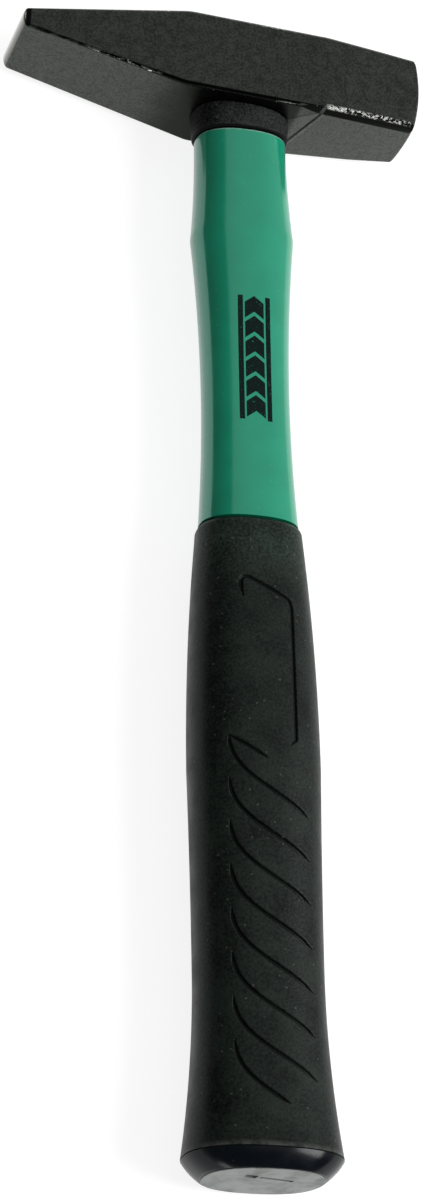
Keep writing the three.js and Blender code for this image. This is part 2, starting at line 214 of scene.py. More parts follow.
@dataclass(frozen=True)
class HandleForm:
    """Sizes of the handle, in millimetres, shared by the pieces on it.

    Attributes:
        squareness: Roundness of every oval: 2 is an ellipse, and more is squarer.
        sides: Number of corners that an oval is made of.
        round_steps: Number of steps that an end's rounding is made in.
        mouth_step: How far below the jacket's end the grip's mouth has its full size.
        spigot_length: Length of the cap with the spigot that fills the jacket's foot.
    """

    squareness: float = 2.4
    sides: int = 96
    round_steps: int = 7
    mouth_step: float = 2.5
    cap_height: float = 5.0
    spigot_length: float = 17.0
    grip_wall: float = 2.8
    collar_wall: float = 1.5
    shoulder: Section = on_handle(0.0, 23.4, 17.0)
    crest: Section = on_handle(0.105, 26.2, 18.6)
    neck_waist: Section = on_handle(0.268, 22.1, 16.2)
    jacket_end: Section = on_handle(0.398, 24.8, 17.6)
    grip_mouth: Section = Section(jacket_end.below + mouth_step, 26.4, 19.0)
    belly: Section = on_handle(0.634, 32.2, 23.2)
    grip_waist: Section = on_handle(0.817, 31.1, 22.2)
    butt: Section = Section(HANDLE_REACH - cap_height, 37.9, 26.4)
    cap_end: Section = on_handle(1.0, 28.8, 22.0)
    rod: Section = Section(0.0, 13.2, 9.2)
    collar_rim: Section = Section(SHOULDER_BELOW - FIT_GAP, 24.6, 17.8)
    collar_top: Section = Section(0.0, 26.8, 19.4)

    def neck(self) -> list[Stretch]:
        """Returns the stretches of the neck, from its foot to its shoulder."""
        return [
            Stretch(self.jacket_end, self.neck_waist, self.neck_waist, 20),
            Stretch(self.neck_waist, self.crest, self.neck_waist, 24),
            Stretch(self.crest, self.shoulder, self.shoulder, 20),
        ]

    def grip(self) -> list[Stretch]:
        """Returns the stretches of the grip, from the butt to its mouth."""
        return [
            Stretch(self.butt, self.grip_waist, self.grip_waist, 34),
            Stretch(self.grip_waist, self.belly, self.grip_waist, 38),
            Stretch(self.belly, self.grip_mouth, self.belly, 46),
        ]

    def grip_lining(self, inset: float) -> list[Section]:
        """Returns the grip's outline, in longer steps and moved inwards, from the butt up."""
        sections = [one for stretch in self.grip() for one in stretch.sections()[::4]]
        return [section.inset(inset) for section in sections]

    def grip_section(self, below: float) -> Section:
        """Finds the grip's section at a place on the handle.

        Args:
            below: The place's distance below the head's axis.

        Returns:
            The section there.
        """
        for stretch in self.grip():
            start, end = stretch.start.below, stretch.end.below
            if below >= end:
                return stretch.at(max((below - start) / (end - start), 0.0))
        return self.grip_mouth.at(below)

    def oval(self, value: float) -> float:
        """Returns the place on the oval that belongs to a sine or a cosine."""
        return math.copysign(abs(value) ** (2 / self.squareness), value)

    def reach(self, place: Vector, section: Section) -> float:
        """Tells how far out a place lies, where 1 is on the section's outline.

        Args:
            place: The place, in millimetres from where the axes cross.
            section: The section that it's measured by.

        Returns:
            The place's distance from the axis as a share of the outline's.
        """
        wide = abs(2 * place.x / section.width) ** self.squareness
        high = abs(2 * place.z / section.thickness) ** self.squareness
        return (wide + high) ** (1 / self.squareness)

    def outward(self, place: Vector, section: Section) -> Vector:
        """Finds the direction that faces out of a section.

        Args:
            place: A place on the section's outline.
            section: The section.

        Returns:
            The direction, of length 1.
        """
        power = self.squareness - 1
        wide = abs(2 * place.x / section.width) ** power / section.width
        high = abs(2 * place.z / section.thickness) ** power / section.thickness
        return Vector((math.copysign(wide, place.x), 0, math.copysign(high, place.z))).normalized()

    def rounded(self, section: Section, radius: float, way: Direction) -> list[Section]:
        """Rounds off the end of an outline.

        Args:
            section: The section at which the outline ends.
            radius: Radius of the rounding.
            way: The direction that the outline ends in.

        Returns:
            The sections of the rounding, from the butt towards the head.
        """
        found = []
        for step in range(self.round_steps + 1):
            turn = math.pi / 2 * step / self.round_steps
            back = radius * (1 - math.sin(turn))
            moved = section.at(section.below + way.value * back)
            found.append(moved.inset(radius * (1 - math.cos(turn))))
        return found if way is Direction.HEAD else found[::-1]


def loft(form: HandleForm, sections: Sequence[Section], sleeve: bool = False) -> BMesh:
    """Makes an oval body by extruding a ring through sections.

    Args:
        form: The handle's sizes, for its roundness.
        sections: The sections that the ring passes through.
        sleeve: Whether the last section joins the first one, as on a sleeve.

    Returns:
        The body as a bmesh, in millimetres from where the axes cross.
    """
    weld_distance = 0.001
    bm = bmesh.new()
    turn = bm.verts.layers.float.new("turn")
    ring = bmesh.ops.create_circle(bm, segments=form.sides, radius=1)["verts"]
    for index, vert in enumerate(ring):
        vert[turn] = math.tau * (index + 0.5) / form.sides

    def place(verts: Iterable[BMVert], section: Section) -> None:
        """Puts a ring's corners on a section."""
        for vert in verts:
            wide = section.width / 2 * form.oval(math.sin(vert[turn]))
            high = section.thickness / 2 * form.oval(math.cos(vert[turn]))
            vert.co = (wide, -section.below, high)

    place(ring, sections[0])
    edges = list(bm.edges)
    for section in [*sections[1:], sections[0]] if sleeve else sections[1:]:
        made = bmesh.ops.extrude_edge_only(bm, edges=edges)["geom"]
        place(only(BMVert, made), section)
        edges = [edge for edge in only(BMEdge, made) if edge.is_boundary]
    if sleeve:
        bmesh.ops.remove_doubles(bm, verts=bm.verts, dist=weld_distance)
    else:
        bmesh.ops.holes_fill(bm, edges=[edge for edge in bm.edges if edge.is_boundary])
    bmesh.ops.recalc_face_normals(bm, faces=bm.faces)
    return bm


# ---------------------------------------------------------------- workshop


@dataclass
class Workshop:
    """Turns bmeshes into pieces, parented to the root body.

    Attributes:
        form: The handle's sizes.
        head_hang: How far the head hangs forward, in degrees.
        crossing: Where the handle's axis crosses the head's, in metres.
    """

    form: HandleForm
    head_hang: float = 3.5
    crossing: Vector = field(init=False)

    def __post_init__(self) -> None:
        """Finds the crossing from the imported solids."""
        rod_low, rod_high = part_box("fibreglass_rod")
        plate_low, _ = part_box("end_plate")
        middle = (rod_low + rod_high) / 2
        self.crossing = Vector((middle.x, plate_low.y + HANDLE_REACH * METRES_PER_MM, middle.z))

    def hang(self) -> Matrix:
        """Returns the turn that hangs the head on the handle."""
        return Matrix.Rotation(-math.radians(self.head_hang), 4, "Z")

    def carve(self, target: BMesh, cutter: BMesh) -> BMesh:
        """Cuts one shape out of another.

        Args:
            target: The shape that is cut, which is used up.
            cutter: The shape that cuts, which is used up.

        Returns:
            What is left of the target.
        """
        kept, tool = meshed("cut_target", target), meshed("cut_tool", cutter)
        modifier = kept.modifiers.new("cut", "BOOLEAN")
        modifier.operation = "DIFFERENCE"
        modifier.solver = "EXACT"
        modifier.object = tool
        bpy.context.view_layer.update()
        result = bmesh.new()
        result.from_object(kept, bpy.context.evaluated_depsgraph_get())
        for done in (kept, tool):
            mesh = done.data
            bpy.data.objects.remove(done)
            bpy.data.meshes.remove(mesh)
        return result

    def piece(
        self,
        name: str,
        bm: BMesh,
        node: str,
        slot: str,
        *finish: Material,
        sharp_degrees: float = 40.0,
    ) -> Object:
        """Makes a piece of a bmesh, dresses it and lets it stand for its solid.

        Args:
            name: The piece's name.
            bm: Its shape in millimetres from the crossing, which is used up.
            node: The solid that it stands for.
            slot: The name of its finish's slot; not used.
            *finish: Its materials, in the order of its slots.
            sharp_degrees: Angle over which an edge is drawn sharp.

        Returns:
            The piece, at the origin and smooth-shaded.
        """
        bm.transform(Matrix.Translation(self.crossing) @ Matrix.Scale(METRES_PER_MM, 4))
        made = meshed(name, bm)
        made.data.shade_smooth()
        made.data.set_sharp_from_angle(angle=math.radians(sharp_degrees))
        for material in finish:
            made.data.materials.append(material)
        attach(made, "root")
        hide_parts(node)
        LOG.info("%s: %d faces", name, len(made.data.polygons))
        return made


# ---------------------------------------------------------------- node trees


class Grain(NamedTuple):
    """Fine and coarse features per metre, and the share of the coarse ones in the height."""

    fine: float
    coarse: float
    share: float


class Relief(NamedTuple):
    """How strongly a height shows, from 0 to 1, and its depth in metres."""

    strength: float
    depth: float


class Specks(NamedTuple):
    """Places per metre, a speck's size as a share of one, and the share that has a speck."""

    scale: float
    size: float
    amount: float


class Chips(NamedTuple):
    """Chips per metre, and how well the finish still covers, near 0.5."""

    scale: float
    cover: float


class Patches(NamedTuple):
    """Patches per metre, the noise's values where a mark is weak and strong, and how strong."""

    scale: float
    band: Band
    strength: Band


class Graph:
    """Builds one node tree with short calls.

    A value that its methods take is a socket or a plain value, and they return sockets.
    """

    def __init__(self, tree: NodeTree) -> None:
        """Keeps the tree that the nodes are added to."""
        self.tree = tree

    def give(self, socket: NodeSocket, value: object) -> None:
        """Gives a socket its value.

        Args:
            socket: The socket.
            value: Another socket, a number, a vector or a colour.
        """
        if isinstance(value, NodeSocket):
            self.tree.links.new(value, socket)
        elif socket.type == "RGBA":
            socket.default_value = (*value, 1.0)
        else:
            socket.default_value = value

    def node(self, kind: str, inputs: dict | None = None, **settings: object) -> Node:
        """Adds a node.

        Args:
            kind: The node's type.
            inputs: Its inputs' values by name or number.
            **settings: Its other settings.

        Returns:
            The new node.
        """
        made = self.tree.nodes.new(kind)
        for name, value in settings.items():
            setattr(made, name, value)
        for key, value in (inputs or {}).items():
            self.give(made.inputs[key], value)
        return made

    def math(self, operation: str, *values: object) -> NodeSocket:
        """Joins values, one after another, or changes a single one.

        Args:
            operation: Blender's name for what is done.
            *values: The values.

        Returns:
            The result.
        """
        total, *others = values
        for value in others or [0.0]:
            inputs = {0: total, 1: value}
            total = self.node("ShaderNodeMath", inputs, operation=operation).outputs[0]
        return total

    def product(self, *values: object) -> NodeSocket:
        """Multiplies values, so that masks hold where all of them do."""
        return self.math("MULTIPLY", *values)

    def most(self, *values: object) -> NodeSocket:
        """Returns the highest of some values, so that masks hold where one of them does."""
        return self.math("MAXIMUM", *values)

    def over(self, value: object, limit: object) -> NodeSocket:
        """Masks where a value is over a limit."""
        return self.math("GREATER_THAN", value, limit)

    def under(self, value: object, limit: object) -> NodeSocket:
        """Masks where a value is under a limit."""
        return self.math("LESS_THAN", value, limit)

    def ramp(self, value: object, band: Band, to: Band = (0.0, 1.0)) -> NodeSocket:
        """Maps a value smoothly from the two ends of a band to those of another."""
        inputs = {"Value": value, 1: band[0], 2: band[1], 3: to[0], 4: to[1]}
        return self.node("ShaderNodeMapRange", inputs, interpolation_type="SMOOTHSTEP").outputs[0]

    def within(self, value: object, stretch: Band, fade: float) -> NodeSocket:
        """Masks a stretch of a value.

        Args:
            value: The value.
            stretch: Where the mask starts and ends.
            fade: How far it fades inwards from both ends.

        Returns:
            The mask.
        """
        start, end = stretch
        return self.product(
            self.ramp(value, (start, start + fade)), self.ramp(value, (end, end - fade))
        )

    def mix(self, share: object, first: object, second: object) -> NodeSocket:
        """Returns a value between two values by a share."""
        inputs = {0: share, 2: first, 3: second}
        return self.node("ShaderNodeMix", inputs, data_type="FLOAT").outputs[0]

    def blend(
        self, share: object, first: object, second: object, mode: BlendMode = BlendMode.MIX
    ) -> NodeSocket:
        """Lays one colour over another.

        Args:
            share: How much of it is laid over, from 0 to 1.
            first: The colour below.
            second: The colour that is laid over it.
            mode: How the two are joined.

        Returns:
            The resulting colour.
        """
        inputs = {0: share, 6: first, 7: second}
        return self.node(
            "ShaderNodeMix", inputs, data_type="RGBA", blend_type=mode.value
        ).outputs[2]

    def noise(
        self, vector: NodeSocket, scale: object, detail: float = 3, roughness: float = 0.5
    ) -> NodeSocket:
        """Returns a noise value at a scale of features per unit."""
        inputs = {"Vector": vector, "Scale": scale, "Detail": detail, "Roughness": roughness}
        return self.node("ShaderNodeTexNoise", inputs).outputs[0]

    def scaled(self, vector: NodeSocket, scale: Triple) -> NodeSocket:
        """Returns a place, scaled by its own amount along each axis."""
        return self.node("ShaderNodeMapping", {"Vector": vector, "Scale": scale}).outputs[0]

    def axes(self, vector: NodeSocket) -> tuple[NodeSocket, ...]:
        """Splits a vector into its three values."""
        return tuple(self.node("ShaderNodeSeparateXYZ", {0: vector}).outputs)

    def bump(self, height: object, relief: Relief, **over: NodeSocket) -> NodeSocket:
        """Turns a height into a normal, over another Normal where one is given."""
        inputs = {"Height": height, "Strength": relief.strength, "Distance": relief.depth, **over}
        return self.node("ShaderNodeBump", inputs).outputs["Normal"]


class EffectGroup(Graph):
    """The node group of an effect, under construction."""

    def __init__(self, name: str, **defaults: float) -> None:
        """Starts the group, with a vector input and one for each default.

        Args:
            name: The group's name.
            **defaults: The default of each of its other inputs.
        """
        super().__init__(bpy.data.node_groups.new(name, "ShaderNodeTree"))
        self._socket("Vector", "INPUT", "NodeSocketVector")
        for label, value in defaults.items():
            self._socket(label, "INPUT").default_value = value
        self.given = self.node("NodeGroupInput").outputs

    def _socket(self, label: str, way: str, kind: str = "NodeSocketFloat") -> object:
        """Gives the group an input or an output."""
        return self.tree.interface.new_socket(label, in_out=way, socket_type=kind)

    def finish(self, **results: NodeSocket) -> NodeTree:
        """Gives the group its outputs.

        Args:
            **results: What each output puts out.

        Returns:
            The group's tree.
        """
        for label in results:
            self._socket(label, "OUTPUT")
        self.node("NodeGroupOutput", results)
        return self.tree


class Effects:
    """The effects that more than one finish uses, each as a node group."""

    def __init__(self) -> None:
        """Builds the groups."""
        self.grain = self._grain()
        self.specks = self._specks()
        self.chips = self._chips()
        self.patches = self._patches()
        self.strands = self._strands()

    @staticmethod
    def _grain() -> NodeTree:
        """Makes fine and coarse unevenness, as of paint or moulded plastic.

        Returns:
            The group, with both as a height and the coarse part alone.
        """
        group = EffectGroup("surface_grain", Fine=2500.0, Coarse=150.0, Share=0.5)
        vector = group.given["Vector"]
        fine = group.noise(vector, group.given["Fine"], 3, 0.6)
        coarse = group.noise(vector, group.given["Coarse"], 4, 0.55)
        return group.finish(Height=group.mix(group.given["Share"], fine, coarse), Cloud=coarse)

    @staticmethod
    def _specks() -> NodeTree:
        """Scatters small pale specks, as of dust, over a surface.

        Returns:
            The group, with the specks' mask.
        """
        group = EffectGroup("dust_specks", Scale=600.0, Size=0.16, Amount=0.5)
        given = group.given
        inputs = {"Vector": given["Vector"], "Scale": given["Scale"]}
        cells = group.node("ShaderNodeTexVoronoi", inputs).outputs
        near = group.under(cells["Distance"], given["Size"])
        drawn = group.node("ShaderNodeSeparateColor", {0: cells["Color"]}).outputs[0]
        return group.finish(Mask=group.product(near, group.under(drawn, given["Amount"])))

    @staticmethod
    def _chips() -> NodeTree:
        """Finds places along an edge where the finish is worn through.

        Returns:
            The group, with their mask.
        """
        wide_scale, wide_share, softness = 60.0, 0.3, 0.03
        group = EffectGroup("edge_chips", Edge=0.0, Scale=700.0, Cover=0.62)
        given = group.given
        patchy = group.noise(given["Vector"], given["Scale"], 4, 0.65)
        wide = group.noise(given["Vector"], wide_scale, 2)
        over = group.math("SUBTRACT", group.mix(wide_share, patchy, wide), given["Cover"])
        return group.finish(Mask=group.product(group.ramp(over, (0.0, softness)), given["Edge"]))

    @staticmethod
    def _patches() -> NodeTree:
        """Makes a mark strong in some patches and weak in others.

        Returns:
            The group, with how strong it is.
        """
        group = EffectGroup("patchy_mark", Scale=500.0, Low=0.35, High=0.6, Weak=0.0, Strong=1.0)
        given = group.given
        noise = group.noise(given["Vector"], given["Scale"])
        band, strength = (given["Low"], given["High"]), (given["Weak"], given["Strong"])
        return group.finish(Strength=group.ramp(noise, band, strength))

    @staticmethod
    def _strands() -> NodeTree:
        """Makes fine strands along the axes in which the vector is drawn out.

        Returns:
            The group, with their height.
        """
        group = EffectGroup("fine_strands")
        return group.finish(Height=group.noise(group.given["Vector"], 1.0, 4, 0.6))


class Surface(Graph):
    """A material under construction, with its coordinates and its shader."""

    def __init__(self, name: str, workshop: Workshop, effects: Effects) -> None:
        """Starts an empty material.

        Args:
            name: The material's name.
            workshop: The workshop, for the place of the pattern's origin.
            effects: The effects that it can use.
        """
        self.material = bpy.data.materials.new(name)
        self.material.use_nodes = True
        super().__init__(self.material.node_tree)
        self.shader = self.tree.nodes["Principled BSDF"]
        coordinates = self.node("ShaderNodeTexCoord").outputs
        self.place = coordinates["Object"]
        self.normal = coordinates["Normal"]
        self.crossing = workshop.crossing
        self.effects = effects

    @cached_property
    def centred(self) -> NodeSocket:
        """The place in millimetres from where the axes cross."""
        offset = [-value * MM_PER_METRE for value in self.crossing]
        inputs = {"Vector": self.place, "Location": offset, "Scale": (MM_PER_METRE,) * 3}
        return self.node("ShaderNodeMapping", inputs).outputs[0]

    def attribute(self, name: str) -> NodeSocket:
        """Returns the value of one of the piece's attributes."""
        return self.node("ShaderNodeAttribute", attribute_name=name).outputs["Fac"]

    def off_line(self, line: Line) -> NodeSocket:
        """Measures the distance from a line.

        Args:
            line: Two places on it, in millimetres from where the axes cross.

        Returns:
            The distance in millimetres.
        """
        kind = "ShaderNodeVectorMath"
        start, end = line
        from_start = self.node(kind, {0: self.centred, 1: start}, operation="SUBTRACT").outputs[0]
        inputs = {0: from_start, 1: (end - start).normalized()}
        across = self.node(kind, inputs, operation="CROSS_PRODUCT").outputs[0]
        return self.node(kind, {0: across}, operation="LENGTH").outputs["Value"]

    def along_line(self, line: Line, half_widths: Band) -> NodeSocket:
        """Masks a strip along a line, between half widths where it's clear and full."""
        return self.ramp(self.off_line(line), half_widths)

    def strands(self, closeness: Triple) -> NodeSocket:
        """Returns the height of fine strands, by how closely they lie along each axis."""
        return self._effect(self.effects.strands, Vector=self.scaled(self.centred, closeness))[0]

    def _effect(self, tree: NodeTree, **inputs: object) -> Sequence[NodeSocket]:
        """Adds an effect and returns its outputs."""
        given = {"Vector": self.place, **inputs}
        return self.node("ShaderNodeGroup", given, node_tree=tree).outputs

    def grain(self, grain: Grain) -> tuple[NodeSocket, NodeSocket]:
        """Returns the height of a grain, and its coarse part alone."""
        fine, coarse, share = grain
        return tuple(self._effect(self.effects.grain, Fine=fine, Coarse=coarse, Share=share))

    def specks(self, specks: Specks) -> NodeSocket:
        """Returns the mask of specks."""
        scale, size, amount = specks
        return self._effect(self.effects.specks, Scale=scale, Size=size, Amount=amount)[0]

    def chips(self, chips: Chips, edge: NodeSocket, **place: NodeSocket) -> NodeSocket:
        """Returns the mask of chips where an edge's mask holds."""
        scale, cover = chips
        return self._effect(self.effects.chips, Edge=edge, Scale=scale, Cover=cover, **place)[0]

    def patches(self, patches: Patches, **place: NodeSocket) -> NodeSocket:
        """Returns how strong a patchy mark is.

        Args:
            patches: Its patches.
            **place: Another Vector than the surface's place.

        Returns:
            Its strength.
        """
        scale, (low, high), (weak, strong) = patches
        inputs = {"Scale": scale, "Low": low, "High": high, "Weak": weak, "Strong": strong}
        return self._effect(self.effects.patches, **inputs, **place)[0]

    def feed(self, **inputs: object) -> None:
        """Sets the shader's inputs, named with _ for a space."""
        for name, value in inputs.items():
            self.give(self.shader.inputs[name.replace("_", " ")], value)


# ---------------------------------------------------------------- finishes


@dataclass(frozen=True)
class HeadLines:
    """Lines on the hung head that its finishes follow.

    Attributes:
        rub: The line on the ground flat where the paint is rough, worn through and painted dark as
            shade.
        scrape: The lower edge of the peen's upper cheek, painted dark as shade and scraped.
        tip: The edge between the nose and the upper cheek, painted dark as shade.
        seam: The forging seam across the underside, painted dark as shade, with a painted
            highlight beside it.
        nose: The nose's lower edge.
    """

    rub: Line
    scrape: Line
    tip: Line
    seam: Line
    nose: Line


@dataclass(frozen=True, kw_only=True)
class Finish:
    """A plain moulded finish, and what every other one has.

    Attributes:
        name: The material's name.
        base: Its main colour.
        deep: The colour of its hollows or of its dull and dirty places.
        shading: The noise's values where it has its deep and its main colour.
        grain: Its unevenness.
        gloss: Its least and greatest roughness.
        relief: How deep its unevenness is.
    """

    name: str
    base: Colour
    deep: Colour
    shading: Band = NOISE_BAND
    grain: Grain
    gloss: Band
    relief: Relief

    def material(self, workshop: Workshop, effects: Effects) -> Material:
        """Builds the finish's material.

        Args:
            workshop: The workshop, for the place of the pattern's origin.
            effects: The effects that it can use.

        Returns:
            The material.
        """
        surface = Surface(self.name, workshop, effects)
        self.dress(surface)
        return surface.material

    def body(self, surface: Surface, noise: NodeSocket) -> NodeSocket:
        """Returns the finish's colour, from its deep to its main one by a noise."""
        return surface.blend(surface.ramp(noise, self.shading), self.deep, self.base)

    def feed(
        self,
        surface: Surface,
        colour: NodeSocket,
        gloss: NodeSocket,
        relief: NodeSocket,
        **others: object,
    ) -> None:
        """Feeds the material's shader.

        Args:
            surface: The material under construction.
            colour: Its colour.
            gloss: The noise that its roughness follows.
            relief: The height that its relief follows.
            **others: The shader's other inputs.
        """
        surface.feed(
            Base_Color=colour,
            Roughness=surface.ramp(gloss, NOISE_BAND, self.gloss),
            Normal=surface.bump(relief, self.relief),
            **others,
        )

    def dress(self, surface: Surface) -> None:
        """Adds the finish's nodes to its material."""
        height, cloud = surface.grain(self.grain)
        self.feed(surface, self.body(surface, cloud), height, height)


@dataclass(frozen=True, kw_only=True)
class BlackPaint(Finish):
    """Fine-grained black paint on forged steel, worn along its edges, with painted shade and
    painted highlights.

    Lengths are in millimetres along the head, half widths lead from where a mark starts to where
    it is full, and slopes tell how far a surface looks away from the butt, from -1 to 1.

    Attributes:
        lines: The lines of the head that the wear follows.
        edge_shade: The near-black colour of the painted shade and painted dark reflection.
        steel: The colour of the steel where the paint is worn through, and of the painted
            highlights.
        low_slope: The slopes at which an edge is a lower one.
        low_dark: How eased an edge is where its painted shade starts and is full.
        crest: How eased it is where it starts to be its crest and is it.
        rub_half_widths: How far from its line the paint is rubbed.
        dash_stretch: Where the peen's edge is scraped in dashes.
        gleam_stretch: Where the edge by the collar is scraped.
        dark_half_widths: How far from its line the peen's edge is painted dark as shade.
        dark_gaps: Where that painted dark edge is broken.
        highlight_lead: How far beyond the seam the thin painted highlight lies.
        collar_shade_slope: The slopes at which the painted shade round the collar starts and is
            full.
        collar_shade_left: Where that painted shade starts and is full, left of the collar.
        collar_shade_drift: How far its left side wanders.
        collar_shade_cover: How dark that painted shade is, from 0 to 1.
        top_highlight: How pale the painted highlight on the top edges is, from 0 to 1.
        flat_painted_dark: 1 where the whole surface is painted dark as shade and dark reflection,
            or else 0.
        dark_metal: How metallic the painted dark places are.
        coat: How strong the coat is in the grain's hollows and on its heights.
    """

    lines: HeadLines
    name: str = "black_paint"
    base: Colour = linear(31, 34, 29)
    deep: Colour = linear(9, 10, 8)
    shading: Band = (0.38, 0.62)
    grain: Grain = Grain(1700.0, 420.0, 0.3)
    gloss: Band = (0.25, 0.39)
    relief: Relief = Relief(0.8, 0.0002)
    edge_shade: Colour = linear(6, 6, 6)
    steel: Colour = linear(196, 196, 192)
    edge_gloss: float = 0.2
    edge_chips: Chips = Chips(900.0, 0.62)
    low_slope: Band = (0.15, 0.0)
    low_dark: Band = (0.1, 0.6)
    crest: Band = (0.72, 0.95)
    rub_chips: Chips = Chips(1300.0, 0.5)
    rub_half_widths: Band = (1.1, 0.66)
    rub_stretch: Band = (19.0, 44.0)
    rub_fade: float = 2.0
    rub_scale: float = 900.0
    rub_relief: Relief = Relief(1.0, 0.0006)
    scrape_chips: Chips = Chips(900.0, 0.485)
    scrape_half_widths: Band = (0.53, 0.48)
    dash_stretch: Band = (-44.0, -22.0)
    gleam_stretch: Band = (6.0, 20.0)
    scrape_fade: float = 3.0
    scrape_drawn: Triple = (0.2, 1.0, 1.0)
    scrape_share: float = 0.28
    dark_half_widths: Band = (0.78, 0.54)
    dark_gaps: Patches = Patches(800.0, (0.4, 0.52), (0.35, 1.0))
    dark_drawn: Triple = (0.25, 1.0, 1.0)
    tip_half_widths: Band = (0.75, 0.4)
    seam_half_widths: Band = (0.42, 0.21)
    seam_cover: float = 0.85
    highlight_lead: float = 0.85
    highlight_half_widths: Band = (0.3, 0.1)
    highlight_patches: Patches = Patches(700.0, (0.35, 0.6), (0.0, 0.16))
    collar_shade_slope: Band = (-0.3, -0.75)
    collar_shade_left: Band = (-29.0, -14.0)
    collar_shade_right: Band = (14.5, 12.0)
    collar_shade_scale: float = 150.0
    collar_shade_drift: float = 4.0
    collar_shade_cover: float = 0.88
    top_highlight: float = 0.14
    flat_painted_dark: float = 0.0
    dark_metal: float = 0.8
    coat: Band = (0.24, 0.54)

    def _scraped(self, surface: Surface, along: NodeSocket, edge: NodeSocket) -> NodeSocket:
        """Finds the thin scrapes on two stretches of the edge.

        Args:
            surface: The material under construction.
            along: The place along the head.
            edge: How eased an edge is.

        Returns:
            Their mask.
        """
        thin = surface.along_line(self.lines.scrape, self.scrape_half_widths)
        dashes = surface.within(along, self.dash_stretch, self.scrape_fade)
        gleam = surface.within(along, self.gleam_stretch, self.scrape_fade)
        crest = surface.ramp(edge, self.crest)
        scraped = surface.most(surface.product(thin, dashes), surface.product(crest, gleam))
        drawn_out = surface.scaled(surface.place, self.scrape_drawn)
        chips = surface.chips(self.scrape_chips, scraped, Vector=drawn_out)
        return surface.product(chips, self.scrape_share)

    def _rubbed(self, surface: Surface, along: NodeSocket) -> NodeSocket:
        """Returns the mask of the rough line on the ground flat, worn in chips and painted dark as
        shade.
        """
        near = surface.along_line(self.lines.rub, self.rub_half_widths)
        return surface.product(near, surface.within(along, self.rub_stretch, self.rub_fade))

    def _collar_shade(self, surface: Surface, along: NodeSocket, up: NodeSocket) -> NodeSocket:
        """Finds the painted shade on the underside around the collar.

        Args:
            surface: The material under construction.
            along: The place along the head.
            up: The surface's slope.

        Returns:
            The mask of that painted shade.
        """
        # Painted shade: darkens the underside round the collar, wider on its left side
        under = surface.product(surface.ramp(up, self.collar_shade_slope), self.collar_shade_cover)
        noise = surface.noise(surface.place, self.collar_shade_scale)
        drift = surface.product(surface.math("SUBTRACT", noise, 0.5), self.collar_shade_drift)
        left = surface.ramp(surface.math("ADD", along, drift), self.collar_shade_left)
        return surface.product(under, left, surface.ramp(along, self.collar_shade_right))

    def _dark(
        self, surface: Surface, along: NodeSocket, up: NodeSocket, low_edge: NodeSocket
    ) -> NodeSocket:
        """Finds where the paint is painted near black as shade and dark reflection, apart from the
        rough line.

        Args:
            surface: The material under construction.
            along: The place along the head.
            up: The surface's slope.
            low_edge: How eased a lower edge is.

        Returns:
            The mask of the places painted dark.
        """
        scrape = surface.along_line(self.lines.scrape, self.dark_half_widths)
        drawn_out = surface.scaled(surface.place, self.dark_drawn)
        seam = surface.along_line(self.lines.seam, self.seam_half_widths)
        # Painted shade and painted dark reflection: lower edges, the peen's edge, the nose's top
        # edge, round the collar and in the seam
        return surface.most(
            surface.ramp(low_edge, self.low_dark),
            self.flat_painted_dark,
            surface.product(scrape, surface.patches(self.dark_gaps, Vector=drawn_out)),
            surface.along_line(self.lines.tip, self.tip_half_widths),
            self._collar_shade(surface, along, up),
            surface.product(seam, self.seam_cover),
        )

    def _seam_highlight(self, surface: Surface) -> NodeSocket:
        """Returns the mask of the thin painted highlight beside the forging seam."""
        highlight_line = tuple(place + Vector((self.highlight_lead, 0, 0)) for place in self.lines.seam)
        near = surface.along_line(highlight_line, self.highlight_half_widths)
        return surface.product(near, surface.patches(self.highlight_patches))

    def dress(self, surface: Surface) -> None:
        """Adds the paint's nodes.

        Args:
            surface: The material under construction.
        """
        height, cloud = surface.grain(self.grain)
        along = surface.axes(surface.centred)[0]
        up = surface.axes(surface.normal)[1]
        edge = surface.attribute(EDGE_ATTRIBUTE)
        low_edge = surface.product(edge, surface.ramp(up, self.low_slope))
        top_edge = surface.math("SUBTRACT", edge, low_edge)
        rub_and_painted_light = self._rubbed(surface, along)
        worn = surface.most(
            surface.chips(self.edge_chips, edge),
            surface.chips(self.rub_chips, rub_and_painted_light),
            self._scraped(surface, along, edge),
        )
        # Painted shade: the dark places and the rough line are painted near black and made
        # metallic
        dark = surface.most(self._dark(surface, along, up, low_edge), rub_and_painted_light)
        plain = surface.ramp(dark, (1.0, 0.0))
        shade = surface.ramp(height, self.shading)
        paint = surface.blend(shade, self.deep, self.base)
        # Painted highlight: a thin pale line in the steel's colour beside the seam
        paint = surface.blend(self._seam_highlight(surface), paint, self.steel)
        # Painted highlight: the top edges are paled towards the steel's colour
        paint = surface.blend(surface.product(top_edge, self.top_highlight), paint, self.steel)
        paint = surface.blend(dark, paint, self.edge_shade)
        pits = surface.product(surface.noise(surface.place, self.rub_scale, roughness=0.6), rub_and_painted_light)
        rough = surface.bump(pits, self.rub_relief)
        roughness = surface.ramp(cloud, NOISE_BAND, self.gloss)
        coat = surface.ramp(shade, (0.0, 1.0), self.coat)
        surface.feed(
            Base_Color=surface.blend(worn, paint, self.steel),
            Metallic=surface.most(worn, surface.product(dark, self.dark_metal)),
            Roughness=surface.mix(edge, roughness, self.edge_gloss),
            Normal=surface.bump(surface.product(height, plain), self.relief, Normal=rough),
            Specular_IOR_Level=0.2,
            Specular_Tint=(0.92, 1.0, 0.9),
            Coat_Weight=surface.product(coat, plain),
            Coat_Roughness=0.3,
            Coat_Tint=(0.93, 1.0, 0.9),
        )


